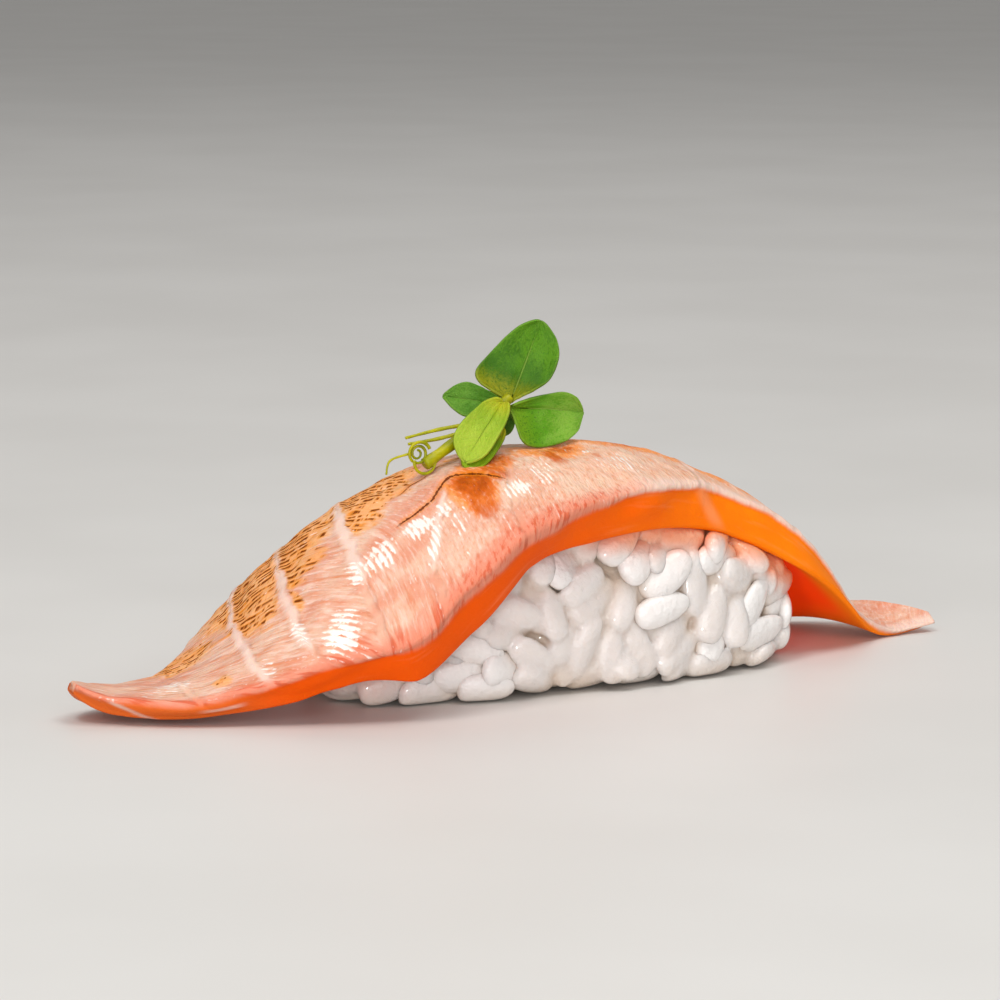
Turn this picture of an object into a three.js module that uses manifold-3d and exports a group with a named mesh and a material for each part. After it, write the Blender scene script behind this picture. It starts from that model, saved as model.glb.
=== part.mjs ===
// Seared salmon nigiri: a pressed finger of rice, a slice of salmon draped over it and a sprig
// of pea shoot on top. Millimetres, +Z up. X runs along the slice from its narrow tail (-X) to
// its flared tail (+X). The origin is at table height, under the middle of the whole.

import * as THREE from "three";
import { mergeVertices } from "three/addons/utils/BufferGeometryUtils.js";
import Module from "manifold-3d";

const wasm = await Module();
wasm.setup();

// ---- driving dimensions -------------------------------------------------------------------

const TOUCH_GAP = 0.35; // clearance kept between pieces that lie on each other

// The slice, as sections along its length. x, y and z place its spine. near and far are how
// far it reaches to the -Y and +Y side of the spine, measured along its surface. roll is the
// section's tilt in degrees, and the two turns are how many degrees its sides have bent down
// by the time they reach their edges. slant is how much further the near cut reaches at the
// underside.
const SLICE_COLUMNS = ["x", "y", "z", "near", "far", "roll", "nearTurn", "farTurn", "slant", "thick"];
const SLICE_SECTIONS = [
  [-50.5, 2.0, 4.0, 1.0, 1.0, 10, 0, 0, -0.5, 1.0],
  [-47.0, 2.0, 3.0, 4.0, 4.5, 1, 6, 2, -1.0, 2.0],
  [-40.0, 1.0, 3.6, 8.0, 7.0, -5, 20, 7, -1.0, 2.5],
  [-34.0, 0.5, 7.5, 12.0, 10.5, -5, 36, 15, 0.0, 3.5],
  [-28.0, 0.0, 13.5, 16.0, 13.0, -1, 52, 32, 1.0, 4.0],
  [-22.5, -1.0, 18.0, 19.0, 14.5, 4, 55, 52, 3.0, 4.5],
  [-16.5, -0.5, 21.0, 18.0, 14.5, 3, 49, 53, 3.0, 5.0],
  [-9.0, 0.0, 23.5, 16.5, 14.5, -2, 46, 50, 1.5, 5.0],
  [0.0, 1.0, 24.0, 15.0, 14.0, -4, 44, 44, 1.5, 4.5],
  [9.0, 2.5, 23.5, 13.0, 13.5, -3, 35, 38, 2.5, 4.0],
  [18.0, 4.5, 21.0, 11.0, 12.5, -3, 29, 31, 3.0, 3.5],
  [25.0, 5.0, 17.5, 10.0, 12.0, -5, 26, 26, 3.0, 3.5],
  [31.5, 5.0, 12.0, 9.0, 11.5, -8, 18, 19, 2.5, 3.0],
  [37.5, 5.0, 4.5, 7.0, 10.0, -9, 4, 10, 1.5, 1.5],
  [43.5, 4.0, 1.7, 3.5, 7.0, 8, 0, 0, 0.0, 0.9],
  [50.5, 1.5, 1.6, 0.8, 1.0, 34, 0, 0, -0.5, 0.8],
];
const SLICE_EDGE_ROUND = 0.6; // how far in the cut edges start to round off
const SLICE_END_ROUND = 0.25; // the same as a share of the thickness, where the slice is thin
const SLICE_RINGS = 40; // sections lofted from tip to tip
const SLICE_STEPS = 12; // facets across the top, and as many across the underside

// The finger of rice. Its plan is a rounded oblong and its wall leans in at foot and shoulder.
const RICE = {
  x: 2.2,
  y: 0.9,
  halfLength: 26.9,
  halfWidth: 10.9,
  squareness: 2.4,
  footHeight: 2.5,
  footInset: 1.3,
  bellyHeight: 6,
  shoulderInset: 5.5,
  height: 22,
};
const RICE_LEVELS = [0, 1, RICE.footHeight, RICE.bellyHeight, 11, 15, 19, RICE.height];
const RICE_SIDES = 32;

const GRAIN = {
  length: 6.5,
  width: 2.7,
  thick: 2.3,
  spread: 0.14, // how much sizes vary either way
  proud: 0.1, // height of a grain's middle above the wall of the core
  lowest: 0.3, // clearance of the lowest grains above the table
  lean: 0.35, // how much grains tip out of the wall
  firstRow: 1.7,
  rowStep: 2.6,
  rows: 6,
  seatStep: 5.7, // spacing along a row
  dodge: 0.6, // how far a grain that would cross the slice is lowered, step by step
  dodges: 4,
  sides: 5,
  bands: 4,
};
// The space the slice takes from the rice: itself, a gap below it and all that lies above.
const RICE_CUT = { from: 3, to: 13, rings: 20, above: 9, reach: 1.2 };

// The pea shoot. A leaf runs from root to tip with its face turned to face. cup bends its
// sides up, arch bends its length and wave ripples its rim, all in millimetres.
const STEM_RADIUS = 0.58;
const BUD = { radius: 0.95, at: [-3.6, -0.35, 28.55] }; // the swelling that the leaves grow from
const TENDRIL_RADIUS = 0.2;
const STRAND_HALF_SIDES = 3;
const STEM_PATH = [
  [-3.6, -0.5, 28.9],
  [-8.3, -1.2, 26.2],
  [-13.9, -2.0, 23.3],
];
const TENDRIL_PATHS = [
  [[-7.6, -0.6, 26.8], [-11.0, 0.4, 26.3], [-14.5, 1.0, 25.6]],
  [[-8.6, -0.9, 26.1], [-11.2, 0.2, 25.4], [-14.3, 0.8, 25.0]],
  [[-15.7, -1.7, 24.4], [-17.5, -1.3, 23.8], [-18.1, -1.6, 22.5]],
];
const COIL = {
  x: -14.6, y: -1.8, z: 24.4,
  outer: 1.25, inner: 0.35, from: 20, turns: 1.6, lead: 0.5, points: 40, steps: 30,
};
const LOOP = { x: -14.1, y: -2.3, z: 23.6, radius: 1.2, from: -190, to: 10, points: 8, steps: 10 };
const LEAF_THICK = 0.36;
const LEAF_TIP_WIDTH = 0.5;
const LEAF_OUTLINE = { towardsRoot: 0.8, fullness: 0.75 }; // where a leaf is widest, and how round
const LEAF_RIPPLE = { along: 9, across: 2 }; // the ripple's turn from root to tip and to the rim
const LEAVES = [
  {
    root: [-3.2, -0.3, 28.4], tip: [2.1, 1.6, 36.4], face: [-0.5, -0.85, 0.2],
    width: 8.4, cup: 0.7, arch: -0.5, wave: 0.22,
  },
  {
    root: [-3.8, 0.1, 28.3], tip: [-9.3, 2.5, 29.3], face: [-0.4, -0.8, 0.5],
    width: 4.2, cup: 0.4, arch: 0.3, wave: 0.1,
  },
  {
    root: [-3.4, -0.5, 28.25], tip: [6.2, 1.0, 26.9], face: [-0.45, -0.9, 0.3],
    width: 6.0, cup: 0.5, arch: 0.6, wave: 0.15,
  },
  {
    root: [-3.9, -0.9, 28.9], tip: [-11.1, -4.6, 23.7], face: [-0.35, -0.75, 0.6],
    width: 5.4, cup: 1.0, arch: 0.5, wave: 0.15,
  },
  {
    root: [-3.8, 0.0, 28.5], tip: [-4.2, 1.4, 24.9], face: [-0.5, -0.85, 0.1],
    width: 3.4, cup: 0.3, arch: 0.3, wave: 0.1,
  },
];
const LEAF_STEPS = { along: 8, across: 5 };

// ---- small helpers ------------------------------------------------------------------------

const SLOPE_STEP = 0.01; // how far apart two points are taken to find a slope
const { degToRad, lerp, clamp } = THREE.MathUtils;
const vector = (point) => new THREE.Vector3(...point);
const range = (count) => Array.from({ length: count }, (_, i) => i);

// Repeatable random numbers from 0 to 1.
function randomSource(seed) {
  let state = seed;
  return () => {
    state = (state * 1664525 + 1013904223) % 4294967296;
    return state / 4294967296;
  };
}

// The volume inside a closed mesh, negative when its faces point in.
function signedVolume(points, index) {
  let total = 0;
  for (let i = 0; i < index.length; i += 3) {
    const [a, b, c] = [points[index[i]], points[index[i + 1]], points[index[i + 2]]];
    total += a.dot(b.clone().cross(c)) / 6;
  }
  return total;
}

// A closed body through rings of equal point counts, with a fan over each end.
function loft(rings) {
  const sides = rings[0].length;
  const middle = (ring) => ring.reduce((sum, p) => sum.add(p), new THREE.Vector3()).divideScalar(sides);
  const points = [...rings.flat(), middle(rings[0]), middle(rings.at(-1))];
  const startFan = points.length - 2;
  const endFan = points.length - 1;
  const lastRing = (rings.length - 1) * sides;
  const index = [];
  for (const i of range(sides)) {
    const next = (i + 1) % sides;
    for (const ring of range(rings.length - 1)) {
      const here = ring * sides;
      const there = here + sides;
      index.push(here + i, there + i, there + next, here + i, there + next, here + next);
    }
    index.push(startFan, i, next, endFan, lastRing + next, lastRing + i);
  }
  if (signedVolume(points, index) < 0) index.reverse();
  const geometry = new THREE.BufferGeometry().setFromPoints(points);
  geometry.setIndex(index);
  return geometry;
}

// A geometry as a solid that can be joined and cut.
function toSolid(geometry) {
  const plain = geometry.clone();
  plain.deleteAttribute("normal");
  plain.deleteAttribute("uv");
  const merged = mergeVertices(plain, 1e-5);
  const triVerts = Uint32Array.from(merged.index.array);
  const vertProperties = Float32Array.from(merged.attributes.position.array);
  return new wasm.Manifold(new wasm.Mesh({ numProp: 3, vertProperties, triVerts }));
}

// The triangles of the largest connected shell, so that scraps and sealed pockets drop out.
function largestShell(triVerts) {
  const parent = new Map();
  const rootOf = (corner) => {
    const above = parent.get(corner) ?? corner;
    if (above === corner) return corner;
    const root = rootOf(above);
    parent.set(corner, root);
    return root;
  };
  const triangles = range(triVerts.length / 3).map((i) => [...triVerts.slice(3 * i, 3 * i + 3)]);
  for (const [a, b, c] of triangles) {
    parent.set(rootOf(b), rootOf(a));
    parent.set(rootOf(c), rootOf(a));
  }
  const shells = Map.groupBy(triangles, ([a]) => rootOf(a));
  const bySize = [...shells.values()].sort((one, other) => other.length - one.length);
  return bySize[0].flat();
}

function toGeometry(solid) {
  const mesh = solid.getMesh();
  const geometry = new THREE.BufferGeometry();
  geometry.setAttribute("position", new THREE.BufferAttribute(mesh.vertProperties, 3));
  geometry.setIndex(largestShell(mesh.triVerts));
  return geometry;
}

// ---- the slice ----------------------------------------------------------------------------

const LAST_SECTION = SLICE_SECTIONS.length - 1;

// Every column's value at s, counted in sections, on a smooth curve through the table.
function sectionAt(s) {
  const index = Math.min(Math.floor(s), LAST_SECTION - 1);
  const row = (step) => SLICE_SECTIONS[clamp(index + step, 0, LAST_SECTION)];
  const f = s - index;
  const blend = (a, b, c, d) =>
    b + 0.5 * f * (c - a + f * (2 * a - 5 * b + 4 * c - d + f * (3 * (b - c) + d - a)));
  const values = SLICE_COLUMNS.map((name, i) => [name, blend(row(-1)[i], row(0)[i], row(1)[i], row(2)[i])]);
  return Object.fromEntries(values);
}

const NO_CURL = 1e-4; // stands for a flat section, as the formula divides by the curl

// A point of the slice's top surface, across millimetres to the far side of its spine.
function topPoint(s, across) {
  const { x, y, z, near, far, roll, nearTurn, farTurn } = sectionAt(s);
  const curl = degToRad(across < 0 ? nearTurn / near : farTurn / far) || NO_CURL;
  const tilt = degToRad(roll);
  const turned = tilt - curl * across;
  return new THREE.Vector3(
    x,
    y + (Math.sin(tilt) - Math.sin(turned)) / curl,
    z + (Math.cos(turned) - Math.cos(tilt)) / curl,
  );
}

// A point of the slice's flesh, depth millimetres below its top surface.
function fleshPoint(s, across, depth) {
  const ahead = topPoint(Math.min(s + SLOPE_STEP, LAST_SECTION), across);
  const behind = topPoint(Math.max(s - SLOPE_STEP, 0), across);
  const along = ahead.sub(behind);
  const over = topPoint(s, across + SLOPE_STEP).sub(topPoint(s, across - SLOPE_STEP));
  const normal = along.cross(over).normalize();
  return topPoint(s, across).addScaledVector(normal, -depth);
}

// The closed outline of the slice's section. above, below and reach swell it into a cutter.
function sliceRing(s, above = 0, below = 0, reach = 0) {
  const { near, far, slant, thick } = sectionAt(s);
  const round = Math.min(SLICE_EDGE_ROUND, thick * SLICE_END_ROUND);
  const nearEdge = -(near + reach);
  const farEdge = far + reach;
  const low = thick + below;
  const top = range(SLICE_STEPS + 1).map((i) => {
    return [lerp(farEdge - round, nearEdge + round, i / SLICE_STEPS), -above];
  });
  const under = range(SLICE_STEPS + 1).map((i) => {
    return [lerp(nearEdge - slant + round, farEdge - round, i / SLICE_STEPS), low];
  });
  const nearCut = [[nearEdge, round - above], [nearEdge - slant, low - round / 2]];
  const farCut = [[farEdge, low - round / 2], [farEdge, round - above]];
  const outline = [...top, ...nearCut, ...under, ...farCut];
  return outline.map(([across, depth]) => fleshPoint(s, across, depth));
}

function sliceBody(from, to, rings, ...swell) {
  return loft(range(rings).map((i) => sliceRing(lerp(from, to, i / (rings - 1)), ...swell)));
}

// ---- the rice -----------------------------------------------------------------------------

// How far the wall of the heap stands in from its widest outline at height z.
function wallInset(z) {
  const foot = Math.max(1 - z / RICE.footHeight, 0);
  const shoulder = Math.max((z - RICE.bellyHeight) / (RICE.height - RICE.bellyHeight), 0);
  return RICE.footInset * foot ** 2 + RICE.shoulderInset * shoulder ** 2;
}

function wallPoint(angle, z) {
  const power = 2 / RICE.squareness;
  const oblong = (value) => Math.sign(value) * Math.abs(value) ** power;
  const inset = wallInset(z);
  return new THREE.Vector3(
    RICE.x + (RICE.halfLength - inset) * oblong(Math.cos(angle)),
    RICE.y + (RICE.halfWidth - inset) * oblong(Math.sin(angle)),
    z,
  );
}

function riceCore() {
  const rings = RICE_LEVELS.map((z) => {
    return range(RICE_SIDES).map((i) => wallPoint((-2 * Math.PI * i) / RICE_SIDES, z));
  });
  return toSolid(loft(rings));
}

// Angles that share out the wall's circuit at height z in even steps.
function evenSeats(z, step, offset) {
  const chords = 720;
  const points = range(chords + 1).map((i) => wallPoint((2 * Math.PI * i) / chords, z));
  const seats = [];
  let travelled = 0;
  let nextSeat = offset * step;
  for (const i of range(chords)) {
    travelled += points[i + 1].distanceTo(points[i]);
    if (travelled >= nextSeat) {
      seats.push((2 * Math.PI * i) / chords);
      nextSeat += step;
    }
  }
  return seats;
}

// One grain, lying along the wall at a slant of its own.
function grain(angle, z, random) {
  const seat = wallPoint(angle, z);
  const round = wallPoint(angle + SLOPE_STEP, z).sub(wallPoint(angle - SLOPE_STEP, z)).normalize();
  const rise = wallPoint(angle, z + SLOPE_STEP).sub(wallPoint(angle, z - SLOPE_STEP)).normalize();
  const out = round.clone().cross(rise).normalize();
  const slant = Math.PI * random();
  const axis = round.multiplyScalar(Math.cos(slant)).addScaledVector(rise, Math.sin(slant));
  axis.addScaledVector(out, GRAIN.lean * (random() - 0.5)).normalize();
  const side = out.clone().cross(axis).normalize();
  const vary = () => 1 + GRAIN.spread * (2 * random() - 1);
  const shape = new THREE.SphereGeometry(0.5, GRAIN.sides, GRAIN.bands);
  shape.scale(GRAIN.width * vary(), GRAIN.length * vary(), GRAIN.thick * vary());
  const turn = new THREE.Matrix4().makeBasis(side, axis, side.clone().cross(axis));
  shape.applyMatrix4(turn);
  shape.translate(...seat.addScaledVector(out, GRAIN.proud).toArray());
  shape.computeBoundingBox();
  shape.translate(0, 0, Math.max(GRAIN.lowest - shape.boundingBox.min.z, 0));
  return shape;
}

// The grain as a solid, lowered until it clears the slice, or nothing where it can't.
function seatedGrain(angle, z, random, slice) {
  const shape = grain(angle, z, random);
  for (const _ of range(GRAIN.dodges)) {
    const solid = toSolid(shape);
    shape.computeBoundingBox();
    if (shape.boundingBox.min.z < GRAIN.lowest / 2) return null;
    if (solid.intersect(slice).isEmpty()) return solid;
    shape.translate(0, 0, -GRAIN.dodge);
  }
  return null;
}

// The core under the slice, with grains fused on all round, row above row.
function riceHeap(slice) {
  const random = randomSource(11);
  let heap = riceCore().subtract(slice);
  for (const row of range(GRAIN.rows)) {
    const z = GRAIN.firstRow + row * GRAIN.rowStep;
    for (const angle of evenSeats(z, GRAIN.seatStep, (row % 2) / 2 + 0.25)) {
      const solid = seatedGrain(angle, z + (random() - 0.5), random, slice);
      if (solid) heap = heap.add(solid);
    }
  }
  return heap;
}

// ---- the pea shoot ------------------------------------------------------------------------

// A round strand of the given radius along a curve.
function strand(curve, radius, steps) {
  const round = new THREE.Shape().absarc(0, 0, radius, 0, 2 * Math.PI);
  const options = {
    steps,
    curveSegments: STRAND_HALF_SIDES,
    bevelEnabled: false,
    extrudePath: curve,
  };
  return new THREE.ExtrudeGeometry(round, options);
}

const through = (path) => new THREE.CatmullRomCurve3(path.map(vector));

// The tendril's coil, wound in towards its middle and facing -Y.
function coilCurve() {
  const points = range(COIL.points + 1).map((i) => {
    const wound = i / COIL.points;
    const angle = degToRad(COIL.from) + 2 * Math.PI * COIL.turns * wound;
    const radius = lerp(COIL.outer, COIL.inner, wound);
    const sway = COIL.lead * (wound - 0.5);
    return new THREE.Vector3(
      COIL.x + radius * Math.cos(angle),
      COIL.y + sway,
      COIL.z + radius * Math.sin(angle),
    );
  });
  return new THREE.CatmullRomCurve3(points);
}

// The tendril's open loop, hanging under the coil.
function loopCurve() {
  const points = range(LOOP.points + 1).map((i) => {
    const angle = degToRad(lerp(LOOP.from, LOOP.to, i / LOOP.points));
    return new THREE.Vector3(
      LOOP.x + LOOP.radius * Math.cos(angle),
      LOOP.y,
      LOOP.z + LOOP.radius * Math.sin(angle),
    );
  });
  return new THREE.CatmullRomCurve3(points);
}

// A thin wavy leaf. Its upper and lower faces are the same mesh of facets, a leaf's
// thickness apart, and its rim joins them.
function leaf({ root, tip, face, width, cup, arch, wave }) {
  const start = vector(root);
  const along = vector(tip).sub(start);
  const side = along.clone().cross(vector(face)).normalize();
  const normal = side.clone().cross(along).normalize();
  const facePoint = (u, v, lift) => {
    const belly = Math.sin(Math.PI * u ** LEAF_OUTLINE.towardsRoot) ** LEAF_OUTLINE.fullness;
    const half = lerp(LEAF_TIP_WIDTH, width, belly) / 2;
    const ripple = wave * v * Math.sin(LEAF_RIPPLE.along * u + LEAF_RIPPLE.across * v);
    const bend = cup * v ** 2 + arch * 4 * u * (1 - u) + ripple;
    return start
      .clone()
      .addScaledVector(along, u)
      .addScaledVector(side, v * half)
      .addScaledVector(normal, bend + lift);
  };
  const rings = range(LEAF_STEPS.along + 1).map((i) => {
    const u = i / LEAF_STEPS.along;
    const across = range(LEAF_STEPS.across + 1).map((j) => (2 * j) / LEAF_STEPS.across - 1);
    const upper = across.map((v) => facePoint(u, v, LEAF_THICK / 2));
    const lower = across.map((v) => facePoint(u, v, -LEAF_THICK / 2)).reverse();
    return [...upper, ...lower];
  });
  return loft(rings);
}

// The whole sprig, cut clear of the slice that it lies on.
function peaShoot(clearance) {
  const strands = [
    strand(through(STEM_PATH), STEM_RADIUS, 6),
    ...TENDRIL_PATHS.map((path) => strand(through(path), TENDRIL_RADIUS, 5)),
    strand(coilCurve(), TENDRIL_RADIUS, COIL.steps),
    strand(loopCurve(), TENDRIL_RADIUS, LOOP.steps),
  ];
  const bud = new THREE.SphereGeometry(BUD.radius, 9, 7).translate(...BUD.at);
  const pieces = [bud, ...strands, ...LEAVES.map(leaf)];
  const joined = pieces.map(toSolid).reduce((whole, piece) => whole.add(piece));
  return joined.subtract(clearance);
}

// ---- assembly -----------------------------------------------------------------------------

const slice = sliceBody(0, LAST_SECTION, SLICE_RINGS);
const riceCutter = toSolid(
  sliceBody(RICE_CUT.from, RICE_CUT.to, RICE_CUT.rings, RICE_CUT.above, TOUCH_GAP, RICE_CUT.reach),
);
const shootCutter = toSolid(sliceBody(0, LAST_SECTION, SLICE_RINGS, TOUCH_GAP));

function piece(name, geometry, color, roughness) {
  geometry.computeVertexNormals();
  const material = new THREE.MeshStandardMaterial({ color, roughness, metalness: 0, flatShading: true });
  const mesh = new THREE.Mesh(geometry, material);
  mesh.name = name;
  return mesh;
}

const nigiri = new THREE.Group();
nigiri.add(
  piece("rice", toGeometry(riceHeap(riceCutter)), 0xdad0c6, 0.35),
  piece("salmon_slice", slice, 0xf09a68, 0.3),
  piece("pea_shoot", toGeometry(peaShoot(shootCutter)), 0x6f9b2c, 0.5),
);

export default nigiri;
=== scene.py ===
"""Seared salmon nigiri with a sprig of pea shoot: the dressed model over its fixed frame.

Drawing sizes are millimetres and degrees. X runs along the slice from its narrow tail to its
flared tail, -Y is the side where the rice shows most, and the table is at Z = 0. Meshes are
written in metres.
"""

import logging
import math
from dataclasses import astuple, dataclass, fields
from enum import Enum, unique
from typing import Callable

import bmesh
import bpy
import numpy as np
from mathutils import Matrix, Vector
from mathutils.bvhtree import BVHTree
from mathutils.kdtree import KDTree

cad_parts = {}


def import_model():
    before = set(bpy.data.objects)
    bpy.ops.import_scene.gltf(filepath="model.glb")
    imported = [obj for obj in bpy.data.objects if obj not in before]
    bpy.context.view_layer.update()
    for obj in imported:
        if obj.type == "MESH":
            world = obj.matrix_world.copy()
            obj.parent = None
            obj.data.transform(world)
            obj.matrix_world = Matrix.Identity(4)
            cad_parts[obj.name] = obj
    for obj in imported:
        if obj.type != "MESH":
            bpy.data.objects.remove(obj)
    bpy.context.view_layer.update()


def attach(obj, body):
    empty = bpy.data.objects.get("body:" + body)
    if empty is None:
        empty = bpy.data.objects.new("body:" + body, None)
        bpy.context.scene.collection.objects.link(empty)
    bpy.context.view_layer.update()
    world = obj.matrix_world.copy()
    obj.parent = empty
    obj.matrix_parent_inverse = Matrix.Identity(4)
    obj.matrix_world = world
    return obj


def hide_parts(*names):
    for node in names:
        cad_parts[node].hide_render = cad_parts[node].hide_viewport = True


MM = 0.001
BODY = "root"

log = logging.getLogger("nigiri")


# ---- numbers and curves ---------------------------------------------------------------------


def smooth(low: float, high: float, value: np.ndarray) -> np.ndarray:
    """Eased step from 0 at low to 1 at high.

    Args:
        low: Value where the step starts.
        high: Value where it ends. It may be below low, for a falling step.
        value: Where to read the step.

    Returns:
        The step's height, from 0 to 1.
    """
    t = np.clip((value - low) / (high - low), 0, 1)
    return t * t * (3 - 2 * t)


def spline(knots: np.ndarray, s: np.ndarray) -> np.ndarray:
    """Catmull-Rom curve through rows of numbers.

    Args:
        knots: One row for each knot.
        s: Places on the curve, counted in knots from 0.

    Returns:
        One row for each place.
    """
    knots = np.asarray(knots, float)
    last = len(knots) - 1
    s = np.clip(np.asarray(s, float), 0, last)
    index = np.minimum(np.floor(s).astype(int), last - 1)
    f = (s - index)[..., None]
    a, b, c, d = (knots[np.clip(index + step, 0, last)] for step in (-1, 0, 1, 2))
    return b + 0.5 * f * (c - a + f * (2 * a - 5 * b + 4 * c - d + f * (3 * (b - c) + d - a)))


def waves(place: np.ndarray, pitch: float, seed: int, octaves: int = 3) -> np.ndarray:
    """Smooth irregular waves over a plane, a sum of sines in seeded directions.

    Args:
        place: Rows of coordinates in millimetres.
        pitch: Length of the longest waves.
        seed: Seed of their directions and phases.
        octaves: How many sizes of wave are added, each half the last.

    Returns:
        One height for each row, about -1 to 1.
    """
    sines, fall = 4, 1.7
    rng = np.random.default_rng(seed)
    total = np.zeros(place.shape[:-1])
    for octave in range(octaves):
        for _ in range(sines):
            heading = rng.normal(size=place.shape[-1])
            heading *= 2 * math.pi * 2**octave / (pitch * np.linalg.norm(heading))
            phase = rng.uniform(0, 2 * math.pi)
            total += np.sin(place @ heading + phase) / (sines * fall**octave)
    return total


# ---- shader building --------------------------------------------------------------------------


def tint(code: str) -> tuple[float, float, float, float]:
    """Colour of a hex code, as the linear values that shaders take.

    Args:
        code: Six hex digits, red, green and blue as seen on a screen.

    Returns:
        Linear red, green and blue, and 1 for alpha.
    """
    channels = [int(code[i : i + 2], 16) / 255 for i in (0, 2, 4)]
    linear = [c / 12.92 if c <= 0.04045 else ((c + 0.055) / 1.055) ** 2.4 for c in channels]
    return (*linear, 1.0)


class Value:
    """One output socket, on which arithmetic adds Math nodes."""

    def __init__(self, recipe: "Recipe", socket: bpy.types.NodeSocket) -> None:
        """Wraps a socket of a recipe's node tree."""
        self.recipe = recipe
        self.socket = socket

    def _math(self, operation: str, *operands: "Value | float") -> "Value":
        """Adds a Math node on the operands, in order.

        Args:
            operation: The node's operation.
            operands: Values or numbers.

        Returns:
            The result.
        """
        return self.recipe.node(
            "ShaderNodeMath", {"operation": operation}, dict(enumerate(operands))
        )

    def __add__(self, other: "Value | float") -> "Value":
        """This plus other."""
        return self._math("ADD", self, other)

    __radd__ = __add__

    def __sub__(self, other: "Value | float") -> "Value":
        """This less other."""
        return self._math("SUBTRACT", self, other)

    def __rsub__(self, other: float) -> "Value":
        """Other less this."""
        return self._math("SUBTRACT", other, self)

    def __mul__(self, other: "Value | float") -> "Value":
        """This times other."""
        return self._math("MULTIPLY", self, other)

    __rmul__ = __mul__

    def __truediv__(self, other: "Value | float") -> "Value":
        """This over other."""
        return self._math("DIVIDE", self, other)

    def __abs__(self) -> "Value":
        """Size of this without its sign."""
        return self._math("ABSOLUTE", self)

    def sin(self) -> "Value":
        """Sine of this in radians."""
        return self._math("SINE", self)

    def least(self, other: "Value | float") -> "Value":
        """Lower of this and other."""
        return self._math("MINIMUM", self, other)

    def most(self, other: "Value | float") -> "Value":
        """Higher of this and other."""
        return self._math("MAXIMUM", self, other)

    def step(self, low: float, high: float) -> "Value":
        """Eased step of this from 0 at low to 1 at high, or falling where high is the lower.

        Args:
            low: Where the step is 0.
            high: Where it is 1.

        Returns:
            The step's height, from 0 to 1.
        """
        falling = high < low
        stops = {1: min(low, high), 2: max(low, high), 3: float(falling), 4: float(not falling)}
        settings = {"interpolation_type": "SMOOTHSTEP", "clamp": True}
        return self.recipe.node("ShaderNodeMapRange", settings, {0: self, **stops})


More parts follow.
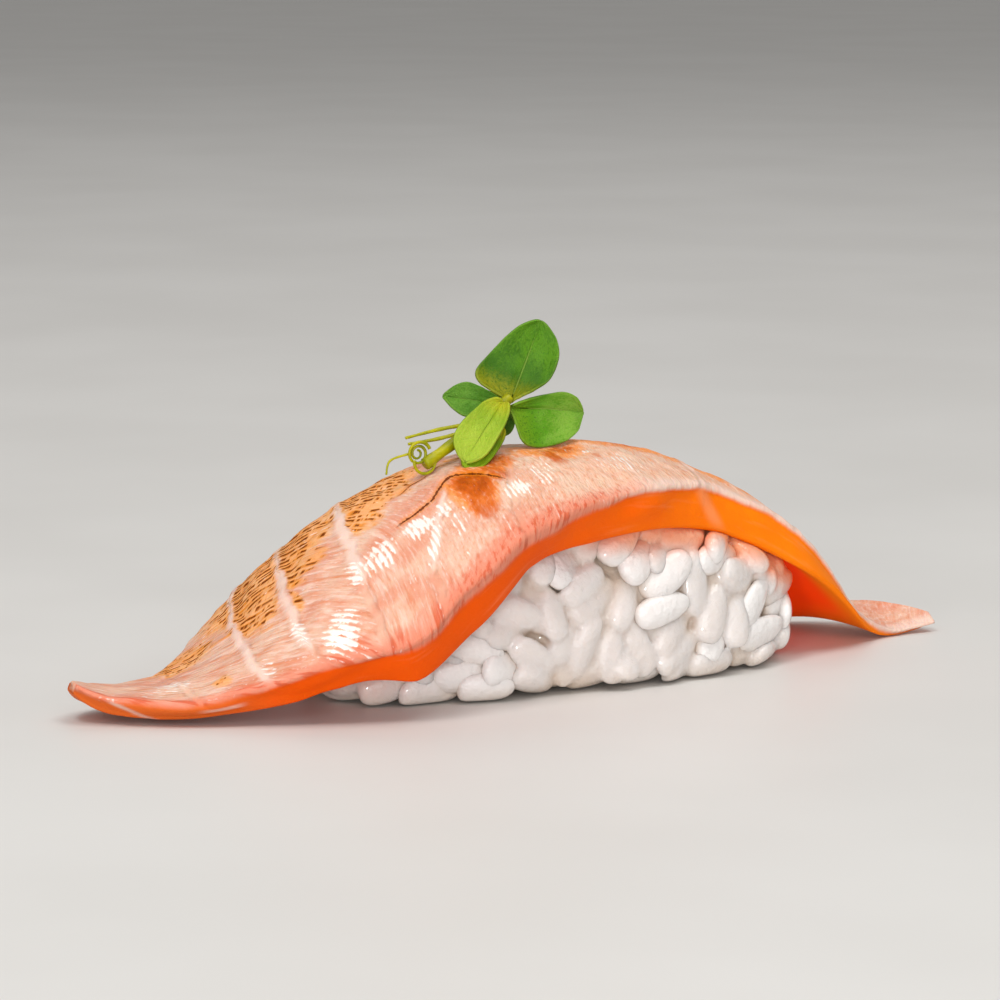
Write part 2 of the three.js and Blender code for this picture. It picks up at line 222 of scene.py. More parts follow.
class Recipe:
    """A material's node tree, filled by one method for any node."""

    MIX_LOW, MIX_HIGH, MIX_OUT = 6, 7, 2

    def __init__(self, name: str) -> None:
        """Starts a material with a lone Principled shader.

        Args:
            name: The material's name.
        """
        self.material = bpy.data.materials.new(name)
        self.material.use_nodes = True
        self.tree = self.material.node_tree
        self.tree.nodes.clear()
        output = self.tree.nodes.new("ShaderNodeOutputMaterial")
        self.shader = self.tree.nodes.new("ShaderNodeBsdfPrincipled")
        self.tree.links.new(self.shader.outputs[0], output.inputs[0])

    def node(
        self,
        kind: str,
        settings: dict[str, object] | None = None,
        inputs: dict[str | int, object] | None = None,
        output: str | int = 0,
    ) -> Value:
        """Adds a node.

        Args:
            kind: The node's type.
            settings: Its properties, set before its sockets.
            inputs: Values or links for its sockets, by name or number.
            output: Which of its outputs is wanted.

        Returns:
            That output.
        """
        made = self.tree.nodes.new(kind)
        for name, value in (settings or {}).items():
            setattr(made, name, value)
        for key, value in (inputs or {}).items():
            self.feed(made.inputs[key], value)
        return Value(self, made.outputs[output])

    def feed(self, socket: bpy.types.NodeSocket, value: object) -> None:
        """Links a Value to a socket, or sets the socket to a plain value.

        Args:
            socket: The socket.
            value: A Value, a number, or a tuple of numbers.
        """
        if isinstance(value, Value):
            self.tree.links.new(value.socket, socket)
        else:
            socket.default_value = value

    def finish(self, **sockets: object) -> bpy.types.Material:
        """Sets the shader's sockets, whose names have underscores for spaces here.

        Args:
            sockets: Values or links.

        Returns:
            The material.
        """
        for name, value in sockets.items():
            self.feed(self.shader.inputs[name.replace("_", " ")], value)
        return self.material

    def attribute(self, name: str) -> Value:
        """A number kept on the mesh."""
        return self.node("ShaderNodeAttribute", {"attribute_name": name}, output="Fac")

    def place(self, name: str) -> Value:
        """A vector kept on the mesh."""
        return self.node("ShaderNodeAttribute", {"attribute_name": name}, output="Vector")

    def object_place(self) -> Value:
        """The place on the object, in millimetres."""
        coordinates = self.node("ShaderNodeTexCoord", output="Object")
        return self.stretch(coordinates, (1 / MM, 1 / MM, 1 / MM))

    def stretch(self, vector: Value, by: tuple[float, float, float]) -> Value:
        """A vector multiplied axis by axis."""
        return self.node("ShaderNodeVectorMath", {"operation": "MULTIPLY"}, {0: vector, 1: by})

    def parts(self, vector: Value) -> tuple[Value, Value, Value]:
        """The three numbers of a vector."""
        split = self.node("ShaderNodeSeparateXYZ", {}, {0: vector}).socket.node
        return tuple(Value(self, socket) for socket in split.outputs)

    def noise(self, vector: Value, detail: float, seed: float = 0.0) -> Value:
        """Cloudy noise with one blob for each unit of the vector.

        Args:
            vector: Where to read it.
            detail: How many finer sizes are added.
            seed: Offset that gives another cloud.

        Returns:
            The noise, from 0 to 1 and mostly near a half.
        """
        settings = {"noise_dimensions": "4D"}
        inputs = {"Vector": vector, "W": seed, "Scale": 1.0, "Detail": detail}
        return self.node("ShaderNodeTexNoise", settings, inputs)

    def mix(self, amount: Value | float, low: object, high: object) -> Value:
        """A colour between two, or a link to either.

        Args:
            amount: 0 for low and 1 for high.
            low: A colour or a colour link.
            high: A colour or a colour link.

        Returns:
            The mixed colour.
        """
        inputs = {0: amount, self.MIX_LOW: low, self.MIX_HIGH: high}
        return self.node("ShaderNodeMix", {"data_type": "RGBA"}, inputs, self.MIX_OUT)

    def paint(self, ground: Value, amount: Value | float, code: str) -> Value:
        """A ground with a hex colour laid over it, as thick as amount from 0 to 1."""
        return self.mix(amount, ground, tint(code))

    def bump(self, height: Value, depth_mm: float) -> Value:
        """A normal bent by a height from 0 to 1 that stands for depth_mm."""
        inputs = {"Strength": 1.0, "Distance": depth_mm * MM, "Height": height}
        return self.node("ShaderNodeBump", {}, inputs)


# ---- pieces -----------------------------------------------------------------------------------


class Slot(Enum):
    """The material slots."""

    RICE = "rice"
    SALMON = "salmon"
    LEAF = "leaf"


class Node(Enum):
    """The frame's nodes."""

    RICE = "rice"
    SALMON = "salmon_slice"
    SHOOT = "pea_shoot"


def to_object(
    name: str,
    bm: bmesh.types.BMesh,
    attributes: dict[str, np.ndarray] | None = None,
) -> bpy.types.Object:
    """Turns a bmesh in millimetres into a smooth-shaded object in metres.

    Args:
        name: The piece's name.
        bm: Its shape. It is freed here.
        attributes: Numbers or triples to keep on the vertices.

    Returns:
        The object, linked to the scene.
    """
    mesh = bpy.data.meshes.new(name)
    bm.to_mesh(mesh)
    bm.free()
    mesh.transform(Matrix.Scale(MM, 4))
    mesh.shade_smooth()
    for key, values in (attributes or {}).items():
        flat = values.ndim == 1
        layer = mesh.attributes.new(key, "FLOAT" if flat else "FLOAT_VECTOR", "POINT")
        layer.data.foreach_set("value" if flat else "vector", values.astype(np.float32).ravel())
    piece = bpy.data.objects.new(name, mesh)
    bpy.context.scene.collection.objects.link(piece)
    return piece


def coordinates(bm: bmesh.types.BMesh) -> np.ndarray:
    """Places of all vertices of a bmesh, one row each."""
    return np.array([v.co for v in bm.verts], float)


def move_to(bm: bmesh.types.BMesh, places: np.ndarray) -> None:
    """Moves the vertices of a bmesh to rows of places."""
    for vert, place in zip(bm.verts, places):
        vert.co = place


def face_out(bm: bmesh.types.BMesh) -> None:
    """Turns all faces of a closed shape outward.

    Args:
        bm: The shape, changed in place.
    """
    bmesh.ops.recalc_face_normals(bm, faces=bm.faces)
    if bm.calc_volume(signed=True) < 0:
        bmesh.ops.reverse_faces(bm, faces=bm.faces)


def subdivide(piece: bpy.types.Object) -> None:
    """Adds one level of subdivision surface, the same in view and render."""
    modifier = piece.modifiers.new("smooth", "SUBSURF")
    modifier.levels = modifier.render_levels = 1


def swept_circle(sides: int, rings: int) -> tuple[bmesh.types.BMesh, list[bmesh.types.BMFace]]:
    """A closed round bar of radius 1 from z = 0 up to z = rings, to be bent into a shape.

    Args:
        sides: Facets round it.
        rings: Steps along it, each 1 high.

    Returns:
        The bar, and its two end faces.
    """
    bm = bmesh.new()
    bmesh.ops.create_circle(bm, segments=sides, radius=1.0)
    circle = bm.verts[:] + bm.edges[:]
    bmesh.ops.spin(bm, geom=circle, dvec=(0, 0, 1), angle=0, steps=rings)
    open_edges = [e for e in bm.edges if e.is_boundary]
    return bm, bmesh.ops.holes_fill(bm, edges=open_edges, sides=sides)["faces"]


def tube_bmesh(
    path: Callable[[np.ndarray], np.ndarray],
    radius: Callable[[np.ndarray], np.ndarray],
    sides: int,
    rings: int,
) -> tuple[bmesh.types.BMesh, np.ndarray]:
    """A closed tube: a circle is swept straight, and the sweep is bent along a path.

    Args:
        path: Gives places on the path for shares of its length from 0 to 1.
        radius: Gives the tube's radius for the same shares.
        sides: Facets round the tube.
        rings: Steps along it.

    Returns:
        The tube, and each vertex's share of the path.
    """
    bm, _ = swept_circle(sides, rings)
    straight = coordinates(bm)
    share = straight[:, 2] / rings
    step, never_along = 0.01, (0.12, 0.9, 0.42)
    along = path(np.minimum(share + step, 1)) - path(np.maximum(share - step, 0))
    along /= np.linalg.norm(along, axis=1, keepdims=True)
    side = np.cross(along, never_along)
    side /= np.linalg.norm(side, axis=1, keepdims=True)
    over = np.cross(side, along)
    reach = radius(share)[:, None]
    move_to(bm, path(share) + reach * (straight[:, :1] * side + straight[:, 1:2] * over))
    face_out(bm)
    return bm, share


# ---- the slice's form -------------------------------------------------------------------------


@dataclass(frozen=True)
class Section:
    """One cross-section of the slice.

    x, y and z place its spine. near and far are how far it reaches to the -Y and +Y side,
    measured along its surface. roll tilts it, and the turns are how many degrees its sides
    have bent down by their edges. slant is how much further the near cut reaches at the
    underside.
    """

    x: float
    y: float
    z: float
    near: float
    far: float
    roll: float
    near_turn: float
    far_turn: float
    slant: float
    thick: float


SECTIONS = (
    Section(-50.5, 2.0, 4.0, 1.0, 1.0, 10, 0, 0, -0.5, 1.0),
    Section(-47.0, 2.0, 3.0, 4.0, 4.5, 1, 6, 2, -1.0, 2.0),
    Section(-40.0, 1.0, 3.6, 8.0, 7.0, -5, 20, 7, -1.0, 2.5),
    Section(-34.0, 0.5, 7.5, 12.0, 10.5, -5, 36, 15, 0.0, 3.5),
    Section(-28.0, 0.0, 13.5, 16.0, 13.0, -1, 52, 32, 1.0, 4.0),
    Section(-22.5, -1.0, 18.0, 19.0, 14.5, 4, 55, 52, 3.0, 4.5),
    Section(-16.5, -0.5, 21.0, 18.0, 14.5, 3, 49, 53, 3.0, 5.0),
    Section(-9.0, 0.0, 23.5, 16.5, 14.5, -2, 46, 50, 1.5, 5.0),
    Section(0.0, 1.0, 24.0, 15.0, 14.0, -4, 44, 44, 1.5, 4.5),
    Section(9.0, 2.5, 23.5, 13.0, 13.5, -3, 35, 38, 2.5, 4.0),
    Section(18.0, 4.5, 21.0, 11.0, 12.5, -3, 29, 31, 3.0, 3.5),
    Section(25.0, 5.0, 17.5, 10.0, 12.0, -5, 26, 26, 3.0, 3.5),
    Section(31.5, 5.0, 12.0, 9.0, 11.5, -8, 18, 19, 2.5, 3.0),
    Section(37.5, 5.0, 4.5, 7.0, 10.0, -9, 4, 10, 1.5, 1.5),
    Section(43.5, 4.0, 1.7, 3.5, 7.0, 8, 0, 0, 0.0, 0.9),
    Section(50.5, 1.5, 1.6, 0.8, 1.0, 34, 0, 0, -0.5, 0.8),
)


class SliceForm:
    """The smooth body through the sections, read at s (counted in sections)."""

    def __init__(self, sections: tuple[Section, ...] = SECTIONS) -> None:
        """Keeps the sections as a table, and where their spine's x lies.

        Args:
            sections: The cross-sections, tail to tail.
        """
        self.table = np.array([astuple(section) for section in sections])
        self.column = {f.name: i for i, f in enumerate(fields(Section))}
        self.last = len(sections) - 1.0
        self.fine_s = np.linspace(0, self.last, 2000)
        self.fine_x = spline(self.table, self.fine_s)[:, 0]

    def read(self, s: np.ndarray, *names: str) -> list[np.ndarray]:
        """Columns of the table at s, by name."""
        row = spline(self.table, s)
        return [row[..., self.column[name]] for name in names]

    def station(self, x: np.ndarray) -> np.ndarray:
        """The s whose spine is at x."""
        return np.interp(x, self.fine_x, self.fine_s)

    def top(self, s: np.ndarray, across: np.ndarray) -> np.ndarray:
        """Places of the top surface.

        Args:
            s: Where along the slice.
            across: Millimetres over the surface, to the far side of the spine.

        Returns:
            One row for each place.
        """
        names = ("x", "y", "z", "near", "far", "roll", "near_turn", "far_turn")
        x, y, z, near, far, roll, near_turn, far_turn = self.read(s, *names)
        flat = 1e-4
        curl = np.radians(np.where(across < 0, near_turn / near, far_turn / far))
        curl = np.where(np.abs(curl) < flat, flat, curl)
        tilt = np.radians(roll)
        turned = tilt - curl * across
        over = y + (np.sin(tilt) - np.sin(turned)) / curl
        up = z + (np.cos(turned) - np.cos(tilt)) / curl
        return np.stack([x, over, up], -1)

    def normal(self, s: np.ndarray, across: np.ndarray) -> np.ndarray:
        """Outward normals of the top surface.

        Args:
            s: Where along the slice.
            across: Millimetres over the surface, to the far side of the spine.

        Returns:
            One row of length 1 for each place.
        """
        step = 0.01
        ahead = self.top(np.minimum(s + step, self.last), across)
        along = ahead - self.top(np.maximum(s - step, 0), across)
        over = self.top(s, across + step) - self.top(s, across - step)
        out = np.cross(along, over)
        return out / np.linalg.norm(out, axis=-1, keepdims=True)

    def flesh(self, s: np.ndarray, across: np.ndarray, depth: np.ndarray) -> np.ndarray:
        """Places depth millimetres below the top surface."""
        return self.top(s, across) - self.normal(s, across) * depth[..., None]


@dataclass(frozen=True)
class Crack:
    """A line over the slice's top, through points (x, across)."""

    STEPS = 12
    FAR = 9.0

    points: tuple[tuple[float, float], ...]

    def distance(self, x: np.ndarray, across: np.ndarray) -> tuple[np.ndarray, np.ndarray]:
        """How far places lie from the line, which runs on straight beyond its ends.

        Args:
            x: Along the slice.
            across: Over the slice.

        Returns:
            Signed millimetres to the line, above 0 on the far side, and 1 beside the line
            falling to 0 beyond its ends.
        """
        knots = np.array(self.points)
        knots = np.vstack([3 * knots[0] - 2 * knots[1], knots, 3 * knots[-1] - 2 * knots[-2]])
        last = len(knots) - 1
        share = np.linspace(0, last, self.STEPS * last + 1)
        line = spline(knots, share)
        nearest, signed, beside = (np.full(x.shape, n) for n in (np.inf, self.FAR, 0.0))
        for (x0, a0), (x1, a1), knot in zip(line[:-1], line[1:], share):
            run = np.array([x1 - x0, a1 - a0])
            f = np.clip(((x - x0) * run[0] + (across - a0) * run[1]) / (run @ run), 0, 1)
            gap = np.hypot(x - x0 - f * run[0], across - a0 - f * run[1])
            closer = gap < nearest
            turn = (run[0] * (across - a0) - run[1] * (x - x0)) / np.hypot(*run)
            signed = np.where(closer, gap * np.where(turn < 0, -1, 1), signed)
            beside = np.where(closer, knot + f / self.STEPS, beside)
            nearest = np.where(closer, gap, nearest)
        return signed, smooth(0.7, 1.2, beside) * smooth(last - 0.7, last - 1.2, beside)


@dataclass(frozen=True)
class Patch:
    """A soft oval on the slice's top: its middle (x, across), half sizes and strength."""

    x: float
    across: float
    half_x: float
    half_across: float
    strength: float = 1.0
    turn: float = 0.0

    def cover(self, x: np.ndarray, across: np.ndarray) -> np.ndarray:
        """Strength at places, falling to 0 at the oval's rim.

        Args:
            x: Along the slice.
            across: Over the slice.

        Returns:
            One number for each place.
        """
        angle = math.radians(self.turn)
        dx, da = x - self.x, across - self.across
        u = (dx * math.cos(angle) + da * math.sin(angle)) / self.half_x
        v = (da * math.cos(angle) - dx * math.sin(angle)) / self.half_across
        return self.strength * smooth(1, 0.35, np.hypot(u, v))


def cover(patches: tuple[Patch, ...], x: np.ndarray, across: np.ndarray) -> np.ndarray:
    """Strength of the strongest of some patches at each place."""
    return np.max([patch.cover(x, across) for patch in patches], axis=0)


@dataclass(frozen=True)
class Band:
    """A thin seam of fat that crosses the slice, through points (x, across) from far to near.

    It is strong between the two ends of its reach over the slice, and fades beyond them.
    """

    STEPS = 12
    WANDER, WANDER_PITCH = 0.22, 5.0
    FADE = 3.0

    points: tuple[tuple[float, float], ...]
    width: float = 1.0
    strength: float = 1.0
    reach: tuple[float, float] = (-30.0, 30.0)

    def offset(self, x: np.ndarray, across: np.ndarray) -> np.ndarray:
        """Signed distance from the seam, above 0 to its +X side.

        Args:
            x: Along the slice.
            across: Over the slice.

        Returns:
            Millimetres for each place.
        """
        count = self.STEPS * (len(self.points) - 1) + 1
        line = spline(np.array(self.points), np.linspace(0, len(self.points) - 1, count))[::-1]
        lean = np.gradient(line[:, 0], line[:, 1])
        seed = int(abs(self.points[0][0]) * 7)
        wander = self.WANDER * waves(across[..., None], self.WANDER_PITCH, seed)
        gap = x - np.interp(across, line[:, 1], line[:, 0]) - wander
        return gap / np.sqrt(1 + np.interp(across, line[:, 1], lean) ** 2)

    def vigour(self, across: np.ndarray) -> np.ndarray:
        """Strength along the seam.

        Args:
            across: Over the slice.

        Returns:
            One number for each place.
        """
        low, high = self.reach
        rise = smooth(low - self.FADE, low, across)
        return self.strength * rise * smooth(high + self.FADE, high, across)


BAND_LEFT = Band(((-28.0, 13.0), (-31.9, 5.2), (-34.4, -2.0), (-35.5, -8.2), (-35.1, -12.0)), 0.85)
BAND_SECOND = Band(
    ((-23.5, 13.0), (-26.3, 6.8), (-29.7, -2.1), (-31.0, -7.6), (-31.2, -11.4), (-30.5, -15.0)),
    0.95, 1.0, (-10.0, 30.0),
)
BAND_MIDDLE = Band(
    ((-17.0, 13.0), (-20.9, 4.5), (-23.3, -1.4), (-24.8, -8.4), (-25.3, -12.0), (-25.4, -18.0)),
    1.15, 1.0, (-8.0, 30.0),
)
FAT_BANDS = (
    BAND_LEFT,
    BAND_SECOND,
    BAND_MIDDLE,
    Band(((-12.5, -3.0), (-14.0, -5.6), (-17.2, -10.3), (-19.4, -14.2)), 0.9, 0.9, (-12.0, -7.0)),
    Band(((2.0, 13.0), (-2.0, 4.0), (-6.7, -6.5), (-9.5, -13.0)), 0.7, 0.35, (-9.0, 30.0)),
    Band(((22.0, 12.0), (19.5, 2.0), (16.5, -8.0), (15.0, -18.0)), 1.3, 0.7),
    Band(((34.0, 11.0), (31.0, 2.0), (29.0, -12.0)), 1.0, 0.4),
    Band(((-38.5, 8.0), (-40.5, 2.0), (-41.3, -9.0)), 0.6, 0.4, (-3.0, 30.0)),
)
LONG_CRACK = Crack(
    (
        (-19.4, -6.3), (-17.6, -6.2), (-15.7, -5.9), (-14.0, -4.9),
        (-12.7, -4.3), (-11.4, -4.6), (-10.0, -6.3), (-8.6, -8.0),
    )
)
SHORT_CRACK = Crack(((-17.0, -1.8), (-15.5, -1.2), (-14.0, -1.6), (-12.2, -0.9)))
SEARED = (
    Patch(-27.5, 6.0, 9.5, 9.0, 1.15),
    Patch(-32.0, 0.5, 3.0, 6.5, 1.0),
    Patch(-27.5, -0.5, 3.5, 4.5, 0.8),
    Patch(-18.0, 3.5, 7.5, 8.0, 1.15),
    Patch(-21.0, -0.5, 3.5, 5.0, 0.9),
    Patch(-37.5, 4.5, 4.5, 6.0, 0.85),
    Patch(-11.0, 9.0, 12.0, 7.0, 1.0),
    Patch(-10.5, -0.8, 3.0, 1.2, 0.7),
    Patch(-38.3, -6.2, 1.6, 1.5, 0.75),
    Patch(6.0, 7.0, 15.0, 7.0, 0.8),
    Patch(-30.0, -4.5, 1.2, 3.0, 0.6),
)
SCORCHED = (
    Patch(-11.3, -7.3, 2.6, 4.4, 1.2, 6.0),
    Patch(-12.0, -10.4, 1.8, 3.4, 0.9, 12.0),
    Patch(-9.0, -6.8, 2.4, 2.4, 0.85),
    Patch(-7.4, -4.4, 3.2, 2.6, 0.85),
    Patch(-1.0, -6.0, 1.5, 3.0, 0.95, 12.0),
    Patch(1.6, -3.9, 2.6, 1.7, 0.8, 15.0),
    Patch(4.2, -6.6, 0.8, 0.9, 0.65),
    Patch(12.0, 1.0, 7.0, 4.0, 0.6),
)
WARMED = (
    Patch(-8.4, -4.6, 4.4, 3.6, 1.3),
    Patch(-11.8, -7.6, 4.4, 5.6, 1.1),
    Patch(0.0, -3.4, 7.5, 4.4, 1.25, -10.0),
    Patch(9.0, -1.0, 12.0, 4.6, 1.15, -8.0),
    Patch(21.0, -3.5, 13.0, 4.6, 1.05, -18.0),
    Patch(5.0, 6.0, 18.0, 7.0, 0.9),
)
# Spots where wet highlights are painted into the slice's colour.
GLINT_SPOTS = (
    Patch(-28.2, -12.4, 2.9, 3.0, 1.25),
    Patch(-25.2, -7.7, 1.0, 2.4, 1.1),
    Patch(-22.4, -7.9, 2.8, 2.6, 0.95),
    Patch(-18.3, -8.0, 3.2, 1.7, 1.15),
    Patch(-17.9, -11.0, 0.9, 3.4, 1.1, -32.0),
    Patch(-15.2, -8.0, 1.8, 1.7, 0.95),
    Patch(-14.6, -10.4, 1.5, 3.2, 0.75, -20.0),
    Patch(-8.0, -10.4, 2.4, 1.9, 1.25),
    Patch(-3.9, -8.8, 2.0, 3.6, 0.8),
    Patch(3.5, -5.3, 0.9, 0.7, 1.3),
    Patch(-31.2, -8.6, 0.9, 3.0, 0.95),
    Patch(-34.6, -8.8, 0.8, 2.2, 0.8),
    Patch(-42.5, -2.6, 4.0, 2.6, 0.65),
    Patch(6.0, -8.6, 5.0, 2.6, 0.55),
)


@unique
class Stretch(Enum):
    """The runs of the slice's outline, in order round it, and their number of steps.

    The near edge is rounded, and the far cut ends in one bevelled step up to the crown. Two
    runs of the same number of steps would be one member, so the numbers differ.
    """

    CROWN = 118
    NEAR_SHOULDER = 6
    NEAR_CUT = 14
    NEAR_FOOT = 4
    UNDERSIDE = 24
    FAR_FOOT = 3
    FAR_CUT = 7


@dataclass
class SalmonSlice:
    """The draped slice of salmon, with its fat bands, sear, cracks and slanted cut."""

    form: SliceForm
    rings: int = 540
    shoulder: float = 0.75
    foot: float = 0.5
    band_height: float = 0.16
    flap_height: float = 0.2
    flap_reach: float = 3.5
    crack_depth: float = 0.12
    short_crack_share: float = 0.6
    ripple: float = 0.16
    ripple_pitch: float = 9.0
    edge_sway: float = 0.35
    edge_sway_pitch: float = 14.0
    tail_reach: float = 5.0
    crease_x: float = -48.9
    crease_lean: float = 2.0
    lobe_length: float = 10.5
    lobe_swell: float = 0.5
    seam_x: float = -39.5
    seam_depth: float = 1.3
    vein_x: float = 15.4
    vein_lean: float = 1.1

    def outline(self, s: np.ndarray, step: np.ndarray) -> tuple[np.ndarray, np.ndarray, np.ndarray]:
        """Where a step round the outline lies in the section at s.

        Args:
            s: Where along the slice.
            step: Steps round the outline, from the far edge over the top.

        Returns:
            Across, depth, and how far the place is from the top towards the cut, 0 to 1.
        """
        near, far, slant, thick = self.form.read(s, "near", "far", "slant", "thick")
        shoulder = np.minimum(self.shoulder, thick * 0.3)
        foot = np.minimum(self.foot, thick * 0.25)
        low = thick - foot
        across = np.zeros(s.shape)
        depth = np.zeros(s.shape)
        cut = np.zeros(s.shape)
        start = 0
        for run in Stretch:
            here = (step >= start) & (step < start + run.value)
            f = (step - start) / run.value
            arc = f * math.pi / 2
            match run:
                case Stretch.CROWN:
                    a = far - shoulder + f * (shoulder - near - far + shoulder)
                    d, c = 0 * f, 0 * f
                case Stretch.NEAR_SHOULDER:
                    a = -near + shoulder * (1 - np.sin(arc))
                    d, c = shoulder * (1 - np.cos(arc)), f
                case Stretch.NEAR_CUT:
                    a = -near - slant * f
                    d, c = shoulder + f * (low - shoulder), 1 + 0 * f
                case Stretch.NEAR_FOOT:
                    a = -near - slant + foot * (1 - np.cos(arc))
                    d, c = low + foot * np.sin(arc), 1 + 0 * f
                case Stretch.UNDERSIDE:
                    a = -near - slant + foot + f * (near + slant + far - 2 * foot)
                    d, c = thick + 0 * f, 1 + 0 * f
                case Stretch.FAR_FOOT:
                    a = far - foot * (1 - np.sin(arc))
                    d, c = low + foot * np.cos(arc), 1 + 0 * f
                case Stretch.FAR_CUT:
                    a = far + 0 * f
                    d, c = low + f * (shoulder - low), 1 + 0 * f
            across = np.where(here, a, across)
            depth = np.where(here, d, depth)
            cut = np.where(here, c, cut)
            start += run.value
        return across, depth, cut

    def relief(self, x: np.ndarray, across: np.ndarray) -> np.ndarray:
        """Height of the top surface over its smooth form, in millimetres.

        Args:
            x: Along the slice.
            across: Over the slice.

        Returns:
            One height for each place.
        """
        plane = np.stack([x, across], -1)
        height = self.ripple * waves(plane / (1.0, 0.6), self.ripple_pitch, seed=3)
        for seam in FAT_BANDS:
            gap = np.abs(seam.offset(x, across)) / seam.width
            profile = smooth(0.8, 0.2, gap) - 0.5 * smooth(2.2, 0.9, gap)
            height += self.band_height * seam.vigour(across) * profile
        for crack, share in ((LONG_CRACK, 1.0), (SHORT_CRACK, self.short_crack_share)):
            gap, beside = crack.distance(x, across)
            groove = share * self.crack_depth * smooth(0.5, 0.0, np.abs(gap))
            flap = self.flap_height * smooth(self.flap_reach, 0.0, gap) * smooth(-0.15, 0.15, gap)
            height += beside * (flap * (crack is LONG_CRACK) - groove)
        return height

    def build(self) -> bpy.types.Object:
        """Sweeps the outline along the slice, shapes it and adds its relief.

        Returns:
            The slice, with the numbers that its finish reads.
        """
        steps = sum(run.value for run in Stretch)
        bm, ends = swept_circle(steps, self.rings)
        bmesh.ops.poke(bm, faces=ends)
        straight = coordinates(bm)
        middle = np.hypot(straight[:, 0], straight[:, 1]) < 0.5
        step = np.arctan2(straight[:, 1], straight[:, 0]) / (2 * math.pi) * steps
        step = np.round(step % steps, 3) % steps
        x_from, x_to = self.form.fine_x[0], self.form.fine_x[-1]
        x_even = x_from + (x_to - x_from) * straight[:, 2] / self.rings
        s = self.form.station(x_even)
        across, depth, cut = self.outline(s, step)
        near, thick = self.form.read(s, "near", "thick")
        across = np.where(middle, 0, across)
        depth = np.where(middle, thick / 2, depth)
        tail = smooth(0, self.tail_reach, np.minimum(x_even - x_from, x_to - x_even))
        shallow = 1 - depth / thick
        depth_worked = depth - shallow * tail * self.relief(x_even, across)
        face = np.stack([x_even, depth * 1.5], -1)
        sway = waves(face, self.edge_sway_pitch, seed=8) * self.edge_sway
        lobe = self.lobe_swell * self.crease(x_even, depth)[1] * smooth(0.2, 1.0, depth)
        across_worked = across + (sway * tail - lobe) * smooth(2.5, 0.5, np.abs(across + near))
        move_to(bm, self.form.flesh(s, across_worked, depth_worked))
        face_out(bm)
        return to_object("salmon", bm, self.marks(x_even, across, depth, cut, near, thick))

    def crease(self, x: np.ndarray, depth: np.ndarray) -> tuple[np.ndarray, np.ndarray]:
        """The fold in the near cut face of the narrow tail.

        Args:
            x: Along the slice.
            depth: Below the top.

        Returns:
            How pale the fold's lip and the short seam near it are, and how far the lobe beside
            the fold swells outward.
        """
        beside = x - self.crease_x - self.crease_lean * depth
        lip = smooth(0.6, 0.1, np.abs(beside)) * smooth(3.4, 2.2, depth)
        along = x - self.seam_x
        seam = smooth(0.45, 0.1, np.abs(depth - self.seam_depth - 0.1 * along))
        seam *= smooth(2.2, 0.6, np.abs(along))
        lobe = smooth(-0.3, 0.5, beside) * smooth(self.lobe_length, self.lobe_length - 3.5, beside)
        return np.maximum(0.8 * lip, 0.6 * seam), lobe

    def marks(
        self,
        x: np.ndarray,
        across: np.ndarray,
        depth: np.ndarray,
        cut: np.ndarray,
        near: np.ndarray,
        thick: np.ndarray,
    ) -> dict[str, np.ndarray]:
        """The numbers that the slice's finish reads.

        Args:
            x: Along the slice.
            across: Over the slice.
            depth: Below the top.
            cut: 0 on the top and 1 on the cut faces and the underside.
            near: How far the near edge is from the spine.
            thick: The slice's thickness.

        Returns:
            Numbers for each vertex, by name.
        """
        band, joint = (np.full(x.shape, Crack.FAR) for _ in range(2))
        border = np.zeros(x.shape)
        for seam in FAT_BANDS:
            offset = seam.offset(x, across)
            joint = np.minimum(joint, np.abs(offset))
            weak = 1.4 * (1 - seam.vigour(across))
            band = np.minimum(band, 2 * np.abs(offset) / seam.width + weak)
            beside = smooth(2.2, 0.6, offset) * smooth(0.2, 0.6, offset)
            border = np.maximum(border, beside * seam.vigour(across))
        # The glint spots mark where highlights are painted into the colour.
        patches = {"sear": SEARED, "scorch": SCORCHED, "glint_spot": GLINT_SPOTS, "warm": WARMED}
        cracks = {"crack": LONG_CRACK, "short_crack": SHORT_CRACK}
        rim_width = 2.0 + 2.2 * smooth(-34, -20, x) * smooth(16, -2, x) + 0.6 * smooth(0, 14, x)
        lowered = 0.7 * smooth(-30, -17, x) * smooth(8, -8, x)
        cut = np.where(across < 0, smooth(0.05 + lowered, 0.85 + 1.5 * lowered, depth), cut)
        vein = smooth(1.6, 0.2, np.abs(x - self.vein_x - self.vein_lean * depth))
        return {
            "flesh": np.stack([x, across, depth], -1),
            "fibre": self.fibres(x, across),
            "border": border,
            "joint": joint,
            "crease": self.crease(x, depth)[0],
            "vein": vein * smooth(3.2, 2.2, depth),
            "cut": cut,
            "under": smooth(-0.12, -0.02, depth - thick) * smooth(-1.0, 2.5, across + near),
            "band": band,
            "rim": smooth(0, 1, 1 - (across + near) / rim_width),
            **{key: np.stack([*c.distance(x, across), 0 * x], -1) for key, c in cracks.items()},
            **{key: cover(group, x, across) for key, group in patches.items()},
        }

